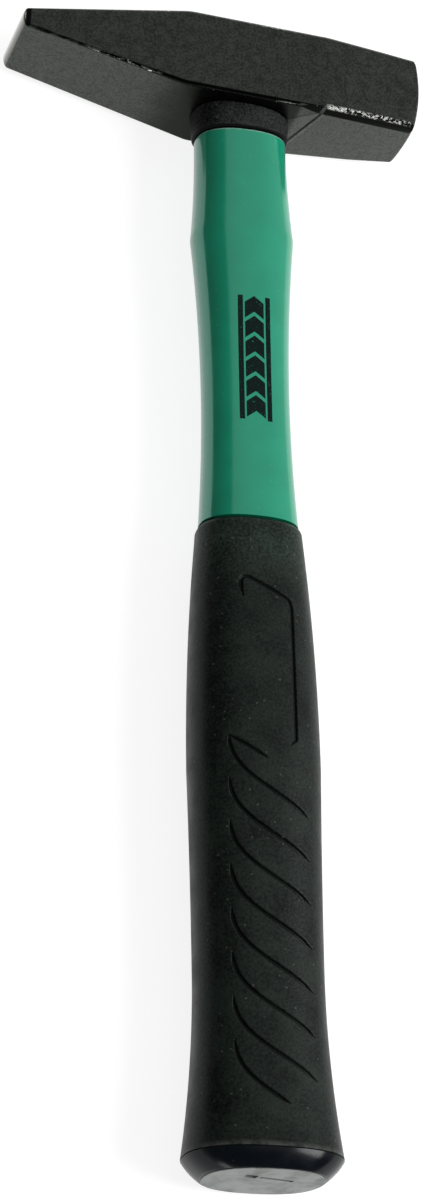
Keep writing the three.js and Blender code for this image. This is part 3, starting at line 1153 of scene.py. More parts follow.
@dataclass(frozen=True, kw_only=True)
class BareSteel(Finish):
    """Ground steel with fine scratches, with a painted reflection that brightens the tip of the
    nose.

    Attributes:
        low: The nose's lower edge.
        tip_reflection: The colour of the painted reflection on the nose's tip.
        tip_reflection_band: How far from that edge the painted reflection starts and is full.
        nose_reach: How far from it the nose ends.
        scratches: How closely the scratches lie along each axis.
    """

    low: Line
    name: str = "bare_steel"
    base: Colour = linear(132, 133, 128)
    deep: Colour = linear(80, 80, 76)
    shading: Band = (0.7, 0.35)
    grain: Grain = Grain(3000.0, 300.0, 0.35)
    gloss: Band = (0.26, 0.44)
    relief: Relief = Relief(0.3, 0.00003)
    tip_reflection: Colour = linear(222, 222, 218)
    tip_reflection_band: Band = (1.0, 4.2)
    nose_reach: Band = (12.0, 10.0)
    scratches: Triple = (1.6, 22.4, 3.2)

    def dress(self, surface: Surface) -> None:
        """Adds the steel's nodes.

        Args:
            surface: The material under construction.
        """
        height, _ = surface.grain(self.grain)
        scratches = surface.strands(self.scratches)
        off_low = surface.off_line(self.low)
        on_nose = surface.ramp(off_low, self.nose_reach)
        # Painted reflection: the nose's tip is brightened towards white
        tip = surface.product(surface.ramp(off_low, self.tip_reflection_band), on_nose)
        colour = surface.blend(tip, self.body(surface, scratches), self.tip_reflection)
        self.feed(surface, colour, height, scratches, Metallic=1.0)


@dataclass(frozen=True, kw_only=True)
class PrintedGreen(Finish):
    """Glossy green plastic, with a plain black print on the front of the neck and a painted
    highlight along its upper edge.

    Attributes:
        ink: The print's colour.
        rub_and_painted_light: The colour of the painted highlight along the neck's upper edge.
        dust: The colour of its specks.
        dust_cover: How much of the dust shows.
        print_sides: The print's left and right side, in millimetres from the handle's axis.
        print_ends: Its upper and lower end, below the head's axis.
        pitch: Distance from one chevron to the next.
        count: Number of chevrons.
        lean: Slope of their bars.
        bar_share: Height of a bar, as a share of the pitch.
        line_width: Width of the lines beside the chevrons.
        line_gap: Width of the gap between them.
        rim_lead: How far under the neck's shoulder the painted highlight starts.
        rim_fade: Over what height it starts.
        coat: How strong the coat is beside the print and on it.
    """

    name: str = "green_plastic"
    base: Colour = linear(5, 140, 106)
    deep: Colour = linear(4, 131, 98)
    grain: Grain = Grain(1500.0, 70.0, 0.6)
    gloss: Band = (0.12, 0.22)
    relief: Relief = Relief(0.2, 0.0001)
    ink: Colour = linear(3, 9, 8)
    ink_metal: float = 0.8
    ink_wear: Patches = Patches(2600.0, (0.24, 0.36), (0.0, 1.0))
    rub_and_painted_light: Colour = linear(140, 172, 158)
    dust: Colour = (0.5, 0.6, 0.55)
    dust_cover: float = 0.12
    specks: Specks = Specks(900.0, 0.13, 0.12)
    print_sides: Band = (-3.9, 4.5)
    print_ends: Band = (66.0, 100.0)
    pitch: float = 5.45
    count: int = 6
    lean: float = 0.75
    bar_share: float = 0.8
    line_width: float = 1.3
    line_gap: float = 0.45
    rim_lead: float = 0.7
    rim_fade: float = 0.3
    rim_patches: Patches = Patches(500.0, (0.35, 0.55), (0.25, 0.8))
    coat: Band = (0.24, 0.06)

    def _print(self, surface: Surface) -> NodeSocket:
        """Draws the print: chevrons between two thin lines.

        Args:
            surface: The material under construction.

        Returns:
            The print's mask.
        """
        over, under = surface.over, surface.under
        x, y, z = surface.axes(surface.centred)
        left, right = self.print_sides
        top, foot = self.print_ends
        half = (right - left) / 2
        across = surface.math("ABSOLUTE", surface.math("SUBTRACT", x, (left + right) / 2))
        below = surface.product(y, -1.0)
        lean = surface.math("SUBTRACT", below, surface.product(across, self.lean), top)
        step = surface.math("DIVIDE", lean, self.pitch)
        chevrons = surface.product(
            under(surface.math("FRACT", step), self.bar_share),
            over(step, 0.0),
            under(step, self.count),
            under(across, half - self.line_width - self.line_gap),
        )
        line = surface.product(under(across, half), over(across, half - self.line_width))
        marks = surface.most(chevrons, line)
        return surface.product(marks, over(below, top), under(below, foot), over(z, 0.0))

    def dress(self, surface: Surface) -> None:
        """Adds the plastic's nodes.

        Args:
            surface: The material under construction.
        """
        height, cloud = surface.grain(self.grain)
        dusty = surface.product(surface.specks(self.specks), self.dust_cover)
        body = surface.blend(dusty, self.body(surface, cloud), self.dust)
        # Painted highlight: a pale band just under the neck's shoulder, where its edge catches the
        # light
        start = -SHOULDER_BELOW - self.rim_lead
        rim = surface.ramp(surface.axes(surface.centred)[1], (start, start + self.rim_fade))
        rub_and_painted_light = surface.product(rim, surface.patches(self.rim_patches))
        body = surface.blend(rub_and_painted_light, body, self.rub_and_painted_light)
        ink = surface.product(self._print(surface), surface.patches(self.ink_wear))
        self.feed(
            surface,
            surface.blend(ink, body, self.ink),
            height,
            height,
            Metallic=surface.product(ink, self.ink_metal),
            Specular_IOR_Level=0.64,
            Specular_Tint=(0.5, 1.0, 0.88),
            IOR=1.7,
            Coat_Weight=surface.ramp(ink, (0.0, 1.0), self.coat),
            Coat_Roughness=0.1,
        )


@dataclass(frozen=True, kw_only=True)
class SoftBlack(Finish):
    """Black rubber or plastic with a fine matt grain and a little dust, painted shade in its
    grooves and painted light on the grip.

    Attributes:
        level: Its specular level.
        dust: The colour of its specks.
        dust_cover: How much of the dust shows.
        shaded_depths: How deep a groove is where its painted shade, in the deep colour, starts and
            is full.
        rub_and_painted_light: Its colour where an edge is worn and has a painted highlight.
        rub_and_light_patches: How strongly that edge is worn and highlighted.
        painted_light_band: How far above the head's axis the painted light that pales it starts
            and is full, in millimetres.
        pale: How many times brighter the painted light makes its colour there.
    """

    shading: Band = (0.35, 0.65)
    level: float
    dust: Colour = (0.35, 0.35, 0.32)
    dust_cover: float = 0.1
    specks: Specks = Specks(520.0, 0.14, 0.3)
    shaded_depths: Band = (0.2, 0.9)
    rub_and_painted_light: Colour = linear(72, 75, 72)
    rub_and_light_patches: Patches = Patches(400.0, (0.35, 0.6), (0.2, 0.9))
    painted_light_band: Band = (0.0, 1.0)
    pale: float = 1.0

    def dress(self, surface: Surface) -> None:
        """Adds the rubber's or plastic's nodes.

        Args:
            surface: The material under construction.
        """
        height, cloud = surface.grain(self.grain)
        # Painted shade: the grooves and the collar's lip take the deep colour
        unshaded = surface.ramp(surface.attribute(PAINTED_SHADE_ATTRIBUTE), self.shaded_depths, (1.0, 0.0))
        shade = surface.product(surface.ramp(height, self.shading), unshaded)
        body = surface.blend(shade, self.deep, self.base)
        # Painted light: brightens the grip's upper part towards its mouth
        painted_light_band = surface.ramp(surface.axes(surface.centred)[1], self.painted_light_band)
        body = surface.blend(painted_light_band, body, (self.pale,) * 3, BlendMode.MULTIPLY)
        # Wear and painted highlight: the grip's butt edge is paled in patches
        edge = surface.product(
            surface.attribute(EDGE_ATTRIBUTE), surface.patches(self.rub_and_light_patches)
        )
        body = surface.blend(edge, body, self.rub_and_painted_light)
        dusty = surface.product(surface.specks(self.specks), self.dust_cover)
        colour = surface.blend(dusty, body, self.dust)
        self.feed(surface, colour, cloud, height, Specular_IOR_Level=self.level)


COLLAR_BLACK = SoftBlack(
    name="collar_black",
    base=linear(50, 51, 51),
    deep=linear(12, 12, 13),
    grain=Grain(1800.0, 120.0, 0.35),
    gloss=(0.43, 0.57),
    relief=Relief(0.6, 0.00008),
    level=0.06,
)
GRIP_BLACK = SoftBlack(
    name="grip_black",
    base=linear(27, 36, 31),
    deep=linear(4, 8, 6),
    grain=Grain(1500.0, 120.0, 0.35),
    gloss=(0.35, 0.49),
    relief=Relief(0.6, 0.00016),
    level=0.15,
    # Painted light on the grip's upper part
    painted_light_band=(-148.0, -130.0),
    pale=2.2,
)
CAP_BLACK = SoftBlack(
    name="cap_black",
    base=linear(6, 12, 18),
    deep=linear(4, 8, 13),
    grain=Grain(1500.0, 120.0, 0.35),
    gloss=(0.17, 0.31),
    relief=Relief(0.6, 0.00003),
    level=0.2,
    dust_cover=0.03,
)
PALE_PLASTIC = Finish(
    name="pale_plastic",
    base=linear(126, 131, 128),
    deep=linear(86, 91, 87),
    shading=(0.75, 0.42),
    grain=Grain(1600.0, 180.0, 0.5),
    gloss=(0.38, 0.55),
    relief=Relief(0.3, 0.00006),
)


@dataclass(frozen=True, kw_only=True)
class CastResin(Finish):
    """Amber casting resin with small bubbles."""

    name: str = "cast_resin"
    base: Colour = linear(186, 160, 104)
    deep: Colour = linear(146, 116, 62)
    shading: Band = (0.35, 0.65)
    grain: Grain = Grain(900.0, 220.0, 0.5)
    gloss: Band = (0.25, 0.42)
    relief: Relief = Relief(0.5, 0.00015)
    bubbles: Specks = Specks(900.0, 0.3, 0.35)

    def dress(self, surface: Surface) -> None:
        """Adds the resin's nodes.

        Args:
            surface: The material under construction.
        """
        height, cloud = surface.grain(self.grain)
        relief = surface.math("SUBTRACT", height, surface.specks(self.bubbles))
        self.feed(surface, self.body(surface, cloud), height, relief)


@dataclass(frozen=True, kw_only=True)
class GlassStrands(Finish):
    """Pale rod of glass strands that run along it.

    Attributes:
        strands: How closely the strands lie along each axis.
    """

    name: str = "glass_strands"
    base: Colour = linear(212, 208, 182)
    deep: Colour = linear(168, 160, 126)
    shading: Band = (0.35, 0.65)
    grain: Grain = Grain(2600.0, 300.0, 0.4)
    gloss: Band = (0.45, 0.65)
    relief: Relief = Relief(0.4, 0.00012)
    strands: Triple = (5.0, 0.25, 5.0)

    def dress(self, surface: Surface) -> None:
        """Adds the rod's nodes.

        Args:
            surface: The material under construction.
        """
        height, _ = surface.grain(self.grain)
        strands = surface.strands(self.strands)
        self.feed(surface, self.body(surface, strands), height, strands)


# ---------------------------------------------------------------- head


class EdgeLine(NamedTuple):
    """The sharp corners along one edge of the head, from the nose to the face."""

    nose: Vector
    peen: Vector
    pole: Vector
    swell: Vector
    face: Vector


@dataclass
class HammerHead:
    """The forged head: cross peen, eye and tapered pole with a domed face.

    Lengths are in millimetres, along X from the peen to the face, and up is away from the butt.

    Attributes:
        peen_reach: How far the nose lies from the handle's axis.
        under_skew: How far the underside's bends run askew on each cheek.
        bend_reach: How far a bend is eased to each side.
        swell_share: Where the pole's taper changes, from its bend to the face.
        swell_taper: How much of the taper is done there.
        face_high_radius: Radius of the face's dome along its height.
        flat_start: Height of the ground flat at the pole's bend.
        flat_end: Its height at the face.
        flat_under: How far it reaches on the underside.
        rub_drop: How far below its upper side the rough line, worn and painted dark, lies.
        bare_nose: How much of the nose's rounding is bare steel.
        bare_rim: How far inside its rim the face is bare steel.
        bare_margin: How far inside the rim's corners it is bare steel at least.
    """

    workshop: Workshop
    length: float = 105.9
    height: float = HEAD_HEIGHT
    thickness: float = 25.2
    corner_radius: float = 1.1
    corner_steps: int = 6
    peen_reach: float = 59.6
    peen_top_bend: float = 16.7
    peen_under_bend: float = 13.7
    pole_top_bend: float = 20.2
    pole_under_bend: float = 16.6
    under_skew: float = 3.6
    bend_reach: float = 1.3
    bend_steps: int = 4
    nose_height: float = 5.3
    nose_thickness: float = 22.0
    nose_rise: float = 0.7
    nose_round: float = 1.4
    nose_chamfer: float = 0.6
    nose_steps: int = 10
    chamfer_steps: int = 3
    swell_share: float = 0.55
    swell_taper: float = 0.52
    face_height: float = 20.6
    face_thickness: float = 18.9
    face_rise: float = 0.7
    face_bevel: float = 0.5
    face_high_radius: float = 44.0
    face_wide_radius: float = 124.0
    face_steps: int = 12
    eye_under: Band = (19.2, 13.4)
    eye_waist: Band = (17.8, 12.2)
    eye_top: Band = (20.4, 14.4)
    overrun: float = 20.0
    flat_start: float = 1.2
    flat_end: float = 1.25
    flat_under: float = 2.6
    rub_drop: float = 0.4
    seam_half_width: float = 0.45
    seam_depth: float = 0.3
    bare_nose: float = 0.4
    bare_rim: float = 0.25
    bare_margin: float = 0.2

    def dome_fall(self, up: float, across: float) -> float:
        """Returns how far the face's dome has fallen away from its middle."""
        high = up * up / (2 * self.face_high_radius)
        return high + across * across / (2 * self.face_wide_radius)

    @property
    def face_front(self) -> float:
        """Where the middle of the face lies along the head."""
        return self.length - self.peen_reach

    @property
    def face_rim(self) -> float:
        """Where the corners of the face lie along the head."""
        fall = self.dome_fall(self.face_height / 2, self.face_thickness / 2)
        return self.face_front - self.face_bevel - fall

    def _corner(self, sharp: Vector, up: int, side: int) -> list[Vector]:
        """Eases a sharp corner of a section into a short arc.

        Args:
            sharp: The corner if it were sharp.
            up: 1 at the top and -1 on the underside.
            side: 1 on the upper cheek and -1 on the lower one.

        Returns:
            The points of the arc.
        """
        points = []
        for step in range(self.corner_steps + 1):
            turn = math.pi / 2 * step / self.corner_steps
            down = self.corner_radius * (1 - math.cos(turn))
            inwards = self.corner_radius * (1 - math.sin(turn))
            points.append(sharp - Vector((0, up * down, side * inwards)))
        return points

    def _edge_line(self, up: int, side: int) -> EdgeLine:
        """Finds the sharp line along the head's top or underside, on one cheek.

        Args:
            up: 1 at the top and -1 on the underside.
            side: 1 on the upper cheek and -1 on the lower one.

        Returns:
            Its corners.
        """

        def corner(along: float, rise: float, height: float, thickness: float) -> Vector:
            """Returns the corner of a section whose middle lies at a rise."""
            return Vector((along, rise + up * height / 2, side * thickness / 2))

        nose_start = self.nose_round - self.peen_reach
        nose = corner(nose_start, self.nose_rise, self.nose_height, self.nose_thickness)
        face = corner(self.face_rim, self.face_rise, self.face_height, self.face_thickness)
        peen = corner(-self.peen_top_bend, 0, self.height, self.thickness)
        pole = corner(self.pole_top_bend, 0, self.height, self.thickness)
        if up < 0:
            # The underside's slopes are plane: where a bend comes nearer to the eye on the
            # lower cheek, it lies lower as well
            tip = Vector((-self.peen_reach, nose.y, 0))
            slopes = ((peen, tip, -1, self.peen_under_bend), (pole, face, 1, self.pole_under_bend))
            for bend, end, way, reach in slopes:
                bend.x = way * (reach + side * self.under_skew)
                share = (bend.x - end.x) / (way * (reach + self.under_skew) - end.x)
                bend.y = lerp(end.y, -self.height / 2, share)
        swell = corner(
            lerp(self.pole_top_bend, self.face_rim, self.swell_share),
            lerp(0, self.face_rise, self.swell_taper),
            lerp(self.height, self.face_height, self.swell_taper),
            lerp(self.thickness, self.face_thickness, self.swell_taper),
        )
        return EdgeLine(nose, peen, pole, swell, face)

    def _softened(self, line: Sequence[Vector]) -> list[Vector]:
        """Rounds the bends of a line.

        Args:
            line: The line's corners.

        Returns:
            The points of its bends, without its two ends.
        """
        points = []
        for before, corner, after in zip(line, line[1:], line[2:]):
            start = corner + (before - corner).normalized() * self.bend_reach
            end = corner + (after - corner).normalized() * self.bend_reach
            for step in range(self.bend_steps + 1):
                share = step / self.bend_steps
                points.append(start.lerp(corner, share).lerp(corner.lerp(end, share), share))
        return points

    def _flat_line(self) -> Line:
        """Returns the upper side of the ground flat on the pole's lower edge."""
        line = self._edge_line(-1, 1)
        start, end = Vector((0, self.flat_start, 0)), Vector((0, self.flat_end, 0))
        return line.pole + start, line.face + end

    def lines(self) -> HeadLines:
        """Finds the lines that the finishes follow, as they hang on the handle.

        Returns:
            The lines, in millimetres from where the axes cross.
        """
        hang = self.workshop.hang()
        top, upper, lower = (self._edge_line(*way) for way in ((1, 1), (-1, 1), (-1, -1)))
        drop = Vector((0, self.rub_drop, 0))
        rub = [place - drop for place in self._flat_line()]
        scrape, tip = (upper.nose, upper.peen), (top.nose, upper.nose)
        seam, nose = (upper.pole, lower.pole), (upper.nose, lower.nose)
        lines = (rub, scrape, tip, seam, nose)
        return HeadLines(*(tuple(hang @ place for place in line) for line in lines))

    def _flat_normal(self) -> Vector:
        """Finds the direction in which the ground flat looks.

        Returns:
            The direction, of length 1.
        """
        start, end = self._flat_line()
        low = self._edge_line(-1, 1).pole - Vector((0, 0, self.flat_under))
        normal = (end - start).cross(low - start).normalized()
        return normal if normal.z > 0 else -normal

    @staticmethod
    def _bisect(bm: BMesh, place: Vector, normal: Vector, **options: bool) -> list:
        """Cuts all of a shape with a plane.

        Args:
            bm: The shape.
            place: A place on the plane.
            normal: The direction in which the plane looks.
            **options: The operator's other options.

        Returns:
            The parts that lie in the cut.
        """
        geometry = [*bm.verts, *bm.edges, *bm.faces]
        return bmesh.ops.bisect_plane(
            bm, geom=geometry, plane_co=place, plane_no=normal, **options
        )["geom_cut"]

    def _grind_flat(self, bm: BMesh) -> None:
        """Grinds the pole's lower edge to a flat that widens towards the face."""
        start, _ = self._flat_line()
        rim = self._bisect(bm, start, self._flat_normal(), clear_outer=True)
        bmesh.ops.holes_fill(bm, edges=only(BMEdge, rim))

    def _press_seam(self, bm: BMesh) -> None:
        """Presses the forging seam into the underside.

        Args:
            bm: The head's block.
        """
        start, end = (self._edge_line(-1, side).pole for side in (1, -1))
        across = (end - start).cross(Vector((0, 1, 0))).normalized()
        for offset in (-self.seam_half_width, self.seam_half_width, 0.0):
            middle = self._bisect(bm, start + across * offset, across)
        lowest = 1 - self.height / 2
        for vert in only(BMVert, middle):
            if vert.co.y < lowest:
                vert.co.y += self.seam_depth

    def _nose_points(self) -> list[Vector]:
        """Finds the points of the rounded nose.

        Returns:
            The points, on both sides of it.
        """
        points = []
        half = self.nose_height / 2
        for step in range(self.nose_steps + 1):
            turn = math.pi * (step / self.nose_steps - 0.5)
            for chamfer_step in range(self.chamfer_steps + 1):
                chamfer_turn = math.pi / 2 * chamfer_step / self.chamfer_steps
                from_side = self.nose_chamfer * (1 - math.sin(chamfer_turn))
                from_tip = self.nose_chamfer * (1 - math.cos(chamfer_turn))
                place = self.nose_round * (1 - math.cos(turn)) - self.peen_reach + from_tip
                rise = self.nose_rise + (half - from_tip) * math.sin(turn)
                for side in (-1, 1):
                    wide = side * (self.nose_thickness / 2 - from_side)
                    points.append(Vector((place, rise, wide)))
        return points

    def _face_points(self) -> list[Vector]:
        """Finds the points of the domed face and of its eased rim.

        Returns:
            The points.
        """
        points = []
        ends = (0, self.face_steps)
        for back in (0.0, self.face_bevel):
            high = self.face_height / 2 - self.face_bevel + back
            wide = self.face_thickness / 2 - self.face_bevel + back
            for row in range(self.face_steps + 1):
                up = lerp(-high, high, row / self.face_steps)
                for column in range(self.face_steps + 1):
                    across = lerp(-wide, wide, column / self.face_steps)
                    found = [Vector((0, up, across))]
                    if row in ends and column in ends:
                        signs = (1 if up > 0 else -1, 1 if across > 0 else -1)
                        found = self._corner(found[0], *signs)
                    for point in found:
                        at = self.face_front - back - self.dome_fall(point.y, point.z)
                        points.append(Vector((at, self.face_rise + point.y, point.z)))
        return points

    def block(self) -> BMesh:
        """Makes the head without its eye, unturned, with its eased edges marked.

        Returns:
            The block.
        """
        bm = bmesh.new()
        edge = bm.verts.layers.float.new(EDGE_ATTRIBUTE)
        for up, side in ((-1, -1), (-1, 1), (1, -1), (1, 1)):
            for sharp in self._softened(self._edge_line(up, side)):
                for index, point in enumerate(self._corner(sharp, up, side)):
                    bm.verts.new(point)[edge] = math.sin(math.pi * index / self.corner_steps)
        for point in (*self._nose_points(), *self._face_points()):
            bm.verts.new(point)
        hull = bmesh.ops.convex_hull(bm, input=bm.verts)
        spare = {*hull["geom_interior"], *hull["geom_unused"]}
        bmesh.ops.delete(bm, geom=only(BMVert, spare), context="VERTS")
        flat_enough = math.radians(0.3)
        bmesh.ops.dissolve_limit(bm, angle_limit=flat_enough, verts=bm.verts, edges=bm.edges)
        self._grind_flat(bm)
        self._press_seam(bm)
        bmesh.ops.recalc_face_normals(bm, faces=bm.faces)
        return bm

    def hung_block(self, lowering: float) -> BMesh:
        """Makes the block as it hangs on the handle, lowered towards the butt."""
        bm = self.block()
        bm.transform(Matrix.Translation((0, -lowering, 0)) @ self.workshop.hang())
        return bm

    def _eye(self) -> BMesh:
        """Makes the shape that cuts the eye.

        Returns:
            A shape that is narrowest at its middle and reaches out of the head.
        """
        half = self.height / 2
        sections = [
            Section(half + self.overrun, *self.eye_under),
            Section(half, *self.eye_under),
            Section(0, *self.eye_waist),
            Section(-half, *self.eye_top),
            Section(-half - self.overrun, *self.eye_top),
        ]
        return loft(self.workshop.form, sections)

    def _is_bare(self, centre: Vector) -> bool:
        """Tells whether a face is bare steel.

        Args:
            centre: The middle of the face.

        Returns:
            Whether it lies on the nose's tip or on the striking face.
        """
        on_nose = centre.x < -self.peen_reach + self.nose_round * self.bare_nose
        inside_rim = self.face_front - self.dome_fall(centre.y - self.face_rise, centre.z)
        beyond = max(inside_rim - self.bare_rim, self.face_rim + self.bare_margin)
        return on_nose or centre.x > beyond

    def build(self, paint: Material, steel: Material, flat_painted_dark: Material) -> None:
        """Makes and dresses the head.

        Args:
            paint: The finish of its sides.
            steel: The finish of its nose and its striking face.
            flat_painted_dark: The finish of the ground flat, painted near black as shade and dark
                reflection.
        """
        bm = self.block()
        flat = self._flat_normal()
        same_way = 0.9999
        painted, bare, ground = range(3)
        for face in bm.faces:
            face.material_index = bare if self._is_bare(face.calc_center_median()) else painted
            if face.normal.dot(flat) > same_way:
                face.material_index = ground
        bm.transform(self.workshop.hang())
        bm = self.workshop.carve(bm, self._eye())
        finish = (paint, steel, flat_painted_dark)
        piece = self.workshop.piece(
            "head_forging", bm, "hammer_head", "black_paint", *finish, sharp_degrees=38
        )
        piece.modifiers.new("flat_sides", "WEIGHTED_NORMAL").keep_sharp = True


# ---------------------------------------------------------------- handle pieces


@dataclass
class NeckCollar:
    """The short black sleeve under the head, whose lower lip is painted dark as shade."""

    workshop: Workshop
    head: HammerHead
    round_radius: float = 0.8
    dark_lip: float = 0.5

    def build(self, material: Material) -> None:
        """Makes and dresses the collar.

        Args:
            material: Its finish.
        """
        form = self.workshop.form
        rim = form.rounded(form.collar_rim, self.round_radius, Direction.BUTT)
        top = form.collar_top
        bore = form.collar_rim.inset(form.collar_wall)
        bm = loft(form, [*rim, top, bore.at(top.below), bore], sleeve=True)
        bm = self.workshop.carve(bm, self.head.hung_block(FIT_GAP))
        groove = bm.verts.layers.float.new(PAINTED_SHADE_ATTRIBUTE)
        # Painted shade: the lip's lowest ring is marked for the deep colour
        for vert in bm.verts:
            vert[groove] = float(vert.co.y < self.dark_lip - form.collar_rim.below)
        self.workshop.piece("neck_sleeve", bm, "neck_collar", "collar_rubber", material)


@dataclass
class HandleJacket:
    """The green body round the rod, with its seats for the collar and the grip."""

    workshop: Workshop
    head: HammerHead
    edge_radius: float = 0.5

    def build(self, material: Material) -> None:
        """Makes and dresses the jacket.

        Args:
            material: Its finish.
        """
        form = self.workshop.form
        mouth = form.grip_mouth.inset(form.grip_wall + FIT_GAP)
        collar_seat = form.collar_rim.inset(form.collar_wall + FIT_GAP)
        bore = form.rod.inset(-FIT_GAP)
        sections = [
            *form.grip_lining(form.grip_wall + FIT_GAP),
            mouth,
            mouth.at(form.jacket_end.below),
            *(section for stretch in form.neck() for section in stretch.sections()),
            *form.rounded(form.shoulder, self.edge_radius, Direction.HEAD),
            collar_seat.at(form.shoulder.below),
            collar_seat.at(0),
            bore,
            bore.at(form.butt.below),
        ]
        bm = loft(form, sections, sleeve=True)
        bm = self.workshop.carve(bm, self.head.hung_block(FIT_GAP))
        self.workshop.piece("handle_body", bm, "handle_jacket", "green_plastic", material)


@dataclass
class GripSleeve:
    """The soft grip with its moulded grooves on both sides.

    Lengths are in millimetres, across the handle from its axis and down it from the head's.

    Attributes:
        groove_lead: How far above the belly the first groove starts.
        groove_margin: How far above the butt the last one would end at full length.
        steep_share: How much of its drop a groove does steeply at its start.
        flat_share: How much of it is done where the groove has turned.
        turn_share: How far across the groove has turned.
        last_share: How much of the last groove is moulded.
        branch_lead: How far outside the first groove the branch starts.
        panel_lead: How far below the grip's mouth the panel starts.
        panel_margin: How far above the belly it ends.
        panel_hook: How far down the hook on its left reaches.
        panel_lean: How far the hook's ends lean.
        taper: Over what length a groove widens from its end.
        tip_share: Its width at its end, as a share of its full one.
        bottom_share: How much of its half width is its flat bottom.
        depth_lead: How much deeper than its width's share a tapering groove is.
        butt_margin: How near to the butt the grip's edge is rubbed.
        search_reaches: How near to a groove the mesh is made finer, each time.
    """

    workshop: Workshop
    mouth_radius: float = 1.9
    groove_half_width: float = 0.62
    groove_depth: float = 0.6
    groove_count: int = 8
    groove_lead: float = 5.7
    groove_margin: float = 5.7
    groove_left: float = 9.1
    groove_right: float = 10.4
    groove_drop: float = 19.3
    steep_share: float = 0.52
    flat_share: float = 0.64
    turn_share: float = 0.49
    last_share: float = 0.75
    branch_lead: float = 0.4
    branch_reach: float = 9.1
    branch_drop: float = 5.6
    panel_lead: float = 13.5
    panel_margin: float = 4.1
    panel_left: float = 5.6
    panel_right: float = 7.4
    panel_drop: float = 6.5
    panel_hook: float = 6.4
    panel_lean: float = 0.9
    panel_round: float = 2.6
    taper: float = 2.6
    tip_share: float = 0.25
    bottom_share: float = 0.25
    depth_lead: float = 0.2
    butt_margin: float = 0.01
    steps_per_mm: int = 8
    search_reaches: tuple[float, ...] = (2.4, 1.5, 1.05)

    def _curve(self, controls: Sequence[Vector], share: float = 1.0) -> list[Vector]:
        """Follows a Bezier curve by repeated blending.

        Args:
            controls: The curve's control points.
            share: How much of the curve is followed.

        Returns:
            Points about a tenth of a millimetre apart.
        """
        length = sum((b - a).length for a, b in zip(controls, controls[1:]))
        steps = max(2, round(length * self.steps_per_mm))
        points = []
        for step in range(steps + 1):
            level = list(controls)
            while len(level) > 1:
                level = [a.lerp(b, share * step / steps) for a, b in zip(level, level[1:])]
            points.append(level[0])
        return points

    def _wave(self, start: float, share: float) -> list[Vector]:
        """Draws one curved groove.

        Args:
            start: How far below the head's axis it starts.
            share: How much of it is moulded.

        Returns:
            The groove's points.
        """
        first = Vector((-self.groove_left, -start))
        last = Vector((self.groove_right, -start - self.groove_drop))
        steep = first - Vector((0, self.groove_drop * self.steep_share))
        turned = lerp(first.x, last.x, self.turn_share)
        flat = Vector((turned, first.y - self.groove_drop * self.flat_share))
        return self._curve([first, steep, flat, last], share)

    def _panel(self) -> list[Vector]:
        """Draws the open outline of the grip's panel.

        Returns:
            Its points: a hook, a sloping top and a long right side.
        """
        form = self.workshop.form
        head = -form.grip_mouth.below - self.panel_lead
        end = -form.belly.below + self.panel_margin
        lean, left, right = self.panel_lean, -self.panel_left, self.panel_right
        slope = self.panel_drop / (right - left)
        half = self.panel_round / 2

        def on_slope(x: float) -> Vector:
            """Returns the point of the sloping top at x."""
            return Vector((x, head - slope * (x - left)))

        hook_foot = Vector((left + lean, head - self.panel_hook))
        hook_end, corner = on_slope(left + self.panel_round), on_slope(right - half)
        turn = on_slope(right)
        side = turn - Vector((0, self.panel_round))
        foot = Vector((right, end + half))
        return [
            *self._curve([hook_foot, Vector((left - lean, head)), hook_end]),
            *self._curve([hook_end, corner]),
            *self._curve([corner, turn, side]),
            *self._curve([side, foot]),
            *self._curve([foot, Vector((right - half, end))]),
        ]

    def _grooves(self) -> list[list[Vector]]:
        """Draws every line of one side.

        Returns:
            The points of each line.
        """
        form = self.workshop.form
        start = form.belly.below - self.groove_lead
        last = form.butt.below - self.groove_margin - self.groove_drop
        branch = Vector((-self.groove_left - self.branch_lead, -start))
        branch_end = Vector((self.branch_reach - self.groove_left, -start - self.branch_drop))
        lines = [self._panel(), self._curve([branch, branch_end])]
        final = self.groove_count - 1
        for index in range(self.groove_count):
            share = self.last_share if index == final else 1.0
            lines.append(self._wave(lerp(start, last, index / final), share))
        return lines

    def _groove_tree(self) -> tuple[KDTree, list[float]]:
        """Makes the grooves searchable.

        Returns:
            The lines' points for searching, and the share of full width at each.
        """
        points: list[tuple[Vector, float]] = []
        for line in self._grooves():
            walked = [0.0]
            for before, after in zip(line, line[1:]):
                walked.append(walked[-1] + (after - before).length)
            for point, done in zip(line, walked):
                end = min(done, walked[-1] - done)
                points.append((point, min(1.0, lerp(self.tip_share, 1.0, end / self.taper))))
        tree = KDTree(len(points))
        for index, (point, _) in enumerate(points):
            tree.insert((point.x, point.y, 0), index)
        tree.balance()
        return tree, [share for _, share in points]

    def _press(self, bm: BMesh) -> None:
        """Refines the mesh along the grooves, presses them in and marks how deep they are, for
        their painted shade.

        Args:
            bm: The grip's body.
        """
        form = self.workshop.form
        groove = bm.verts.layers.float.new(PAINTED_SHADE_ATTRIBUTE)
        tree, shares = self._groove_tree()
        outside = 0.97
        far = 3.0

        def flat(place: Vector) -> Vector:
            """Returns a place as it is seen from its own side."""
            return Vector((math.copysign(1, place.z) * place.x, place.y, 0))

        def on_skin(place: Vector) -> bool:
            """Tells whether a place is on the grip's outside."""
            return form.reach(place, form.grip_section(-place.y)) > outside

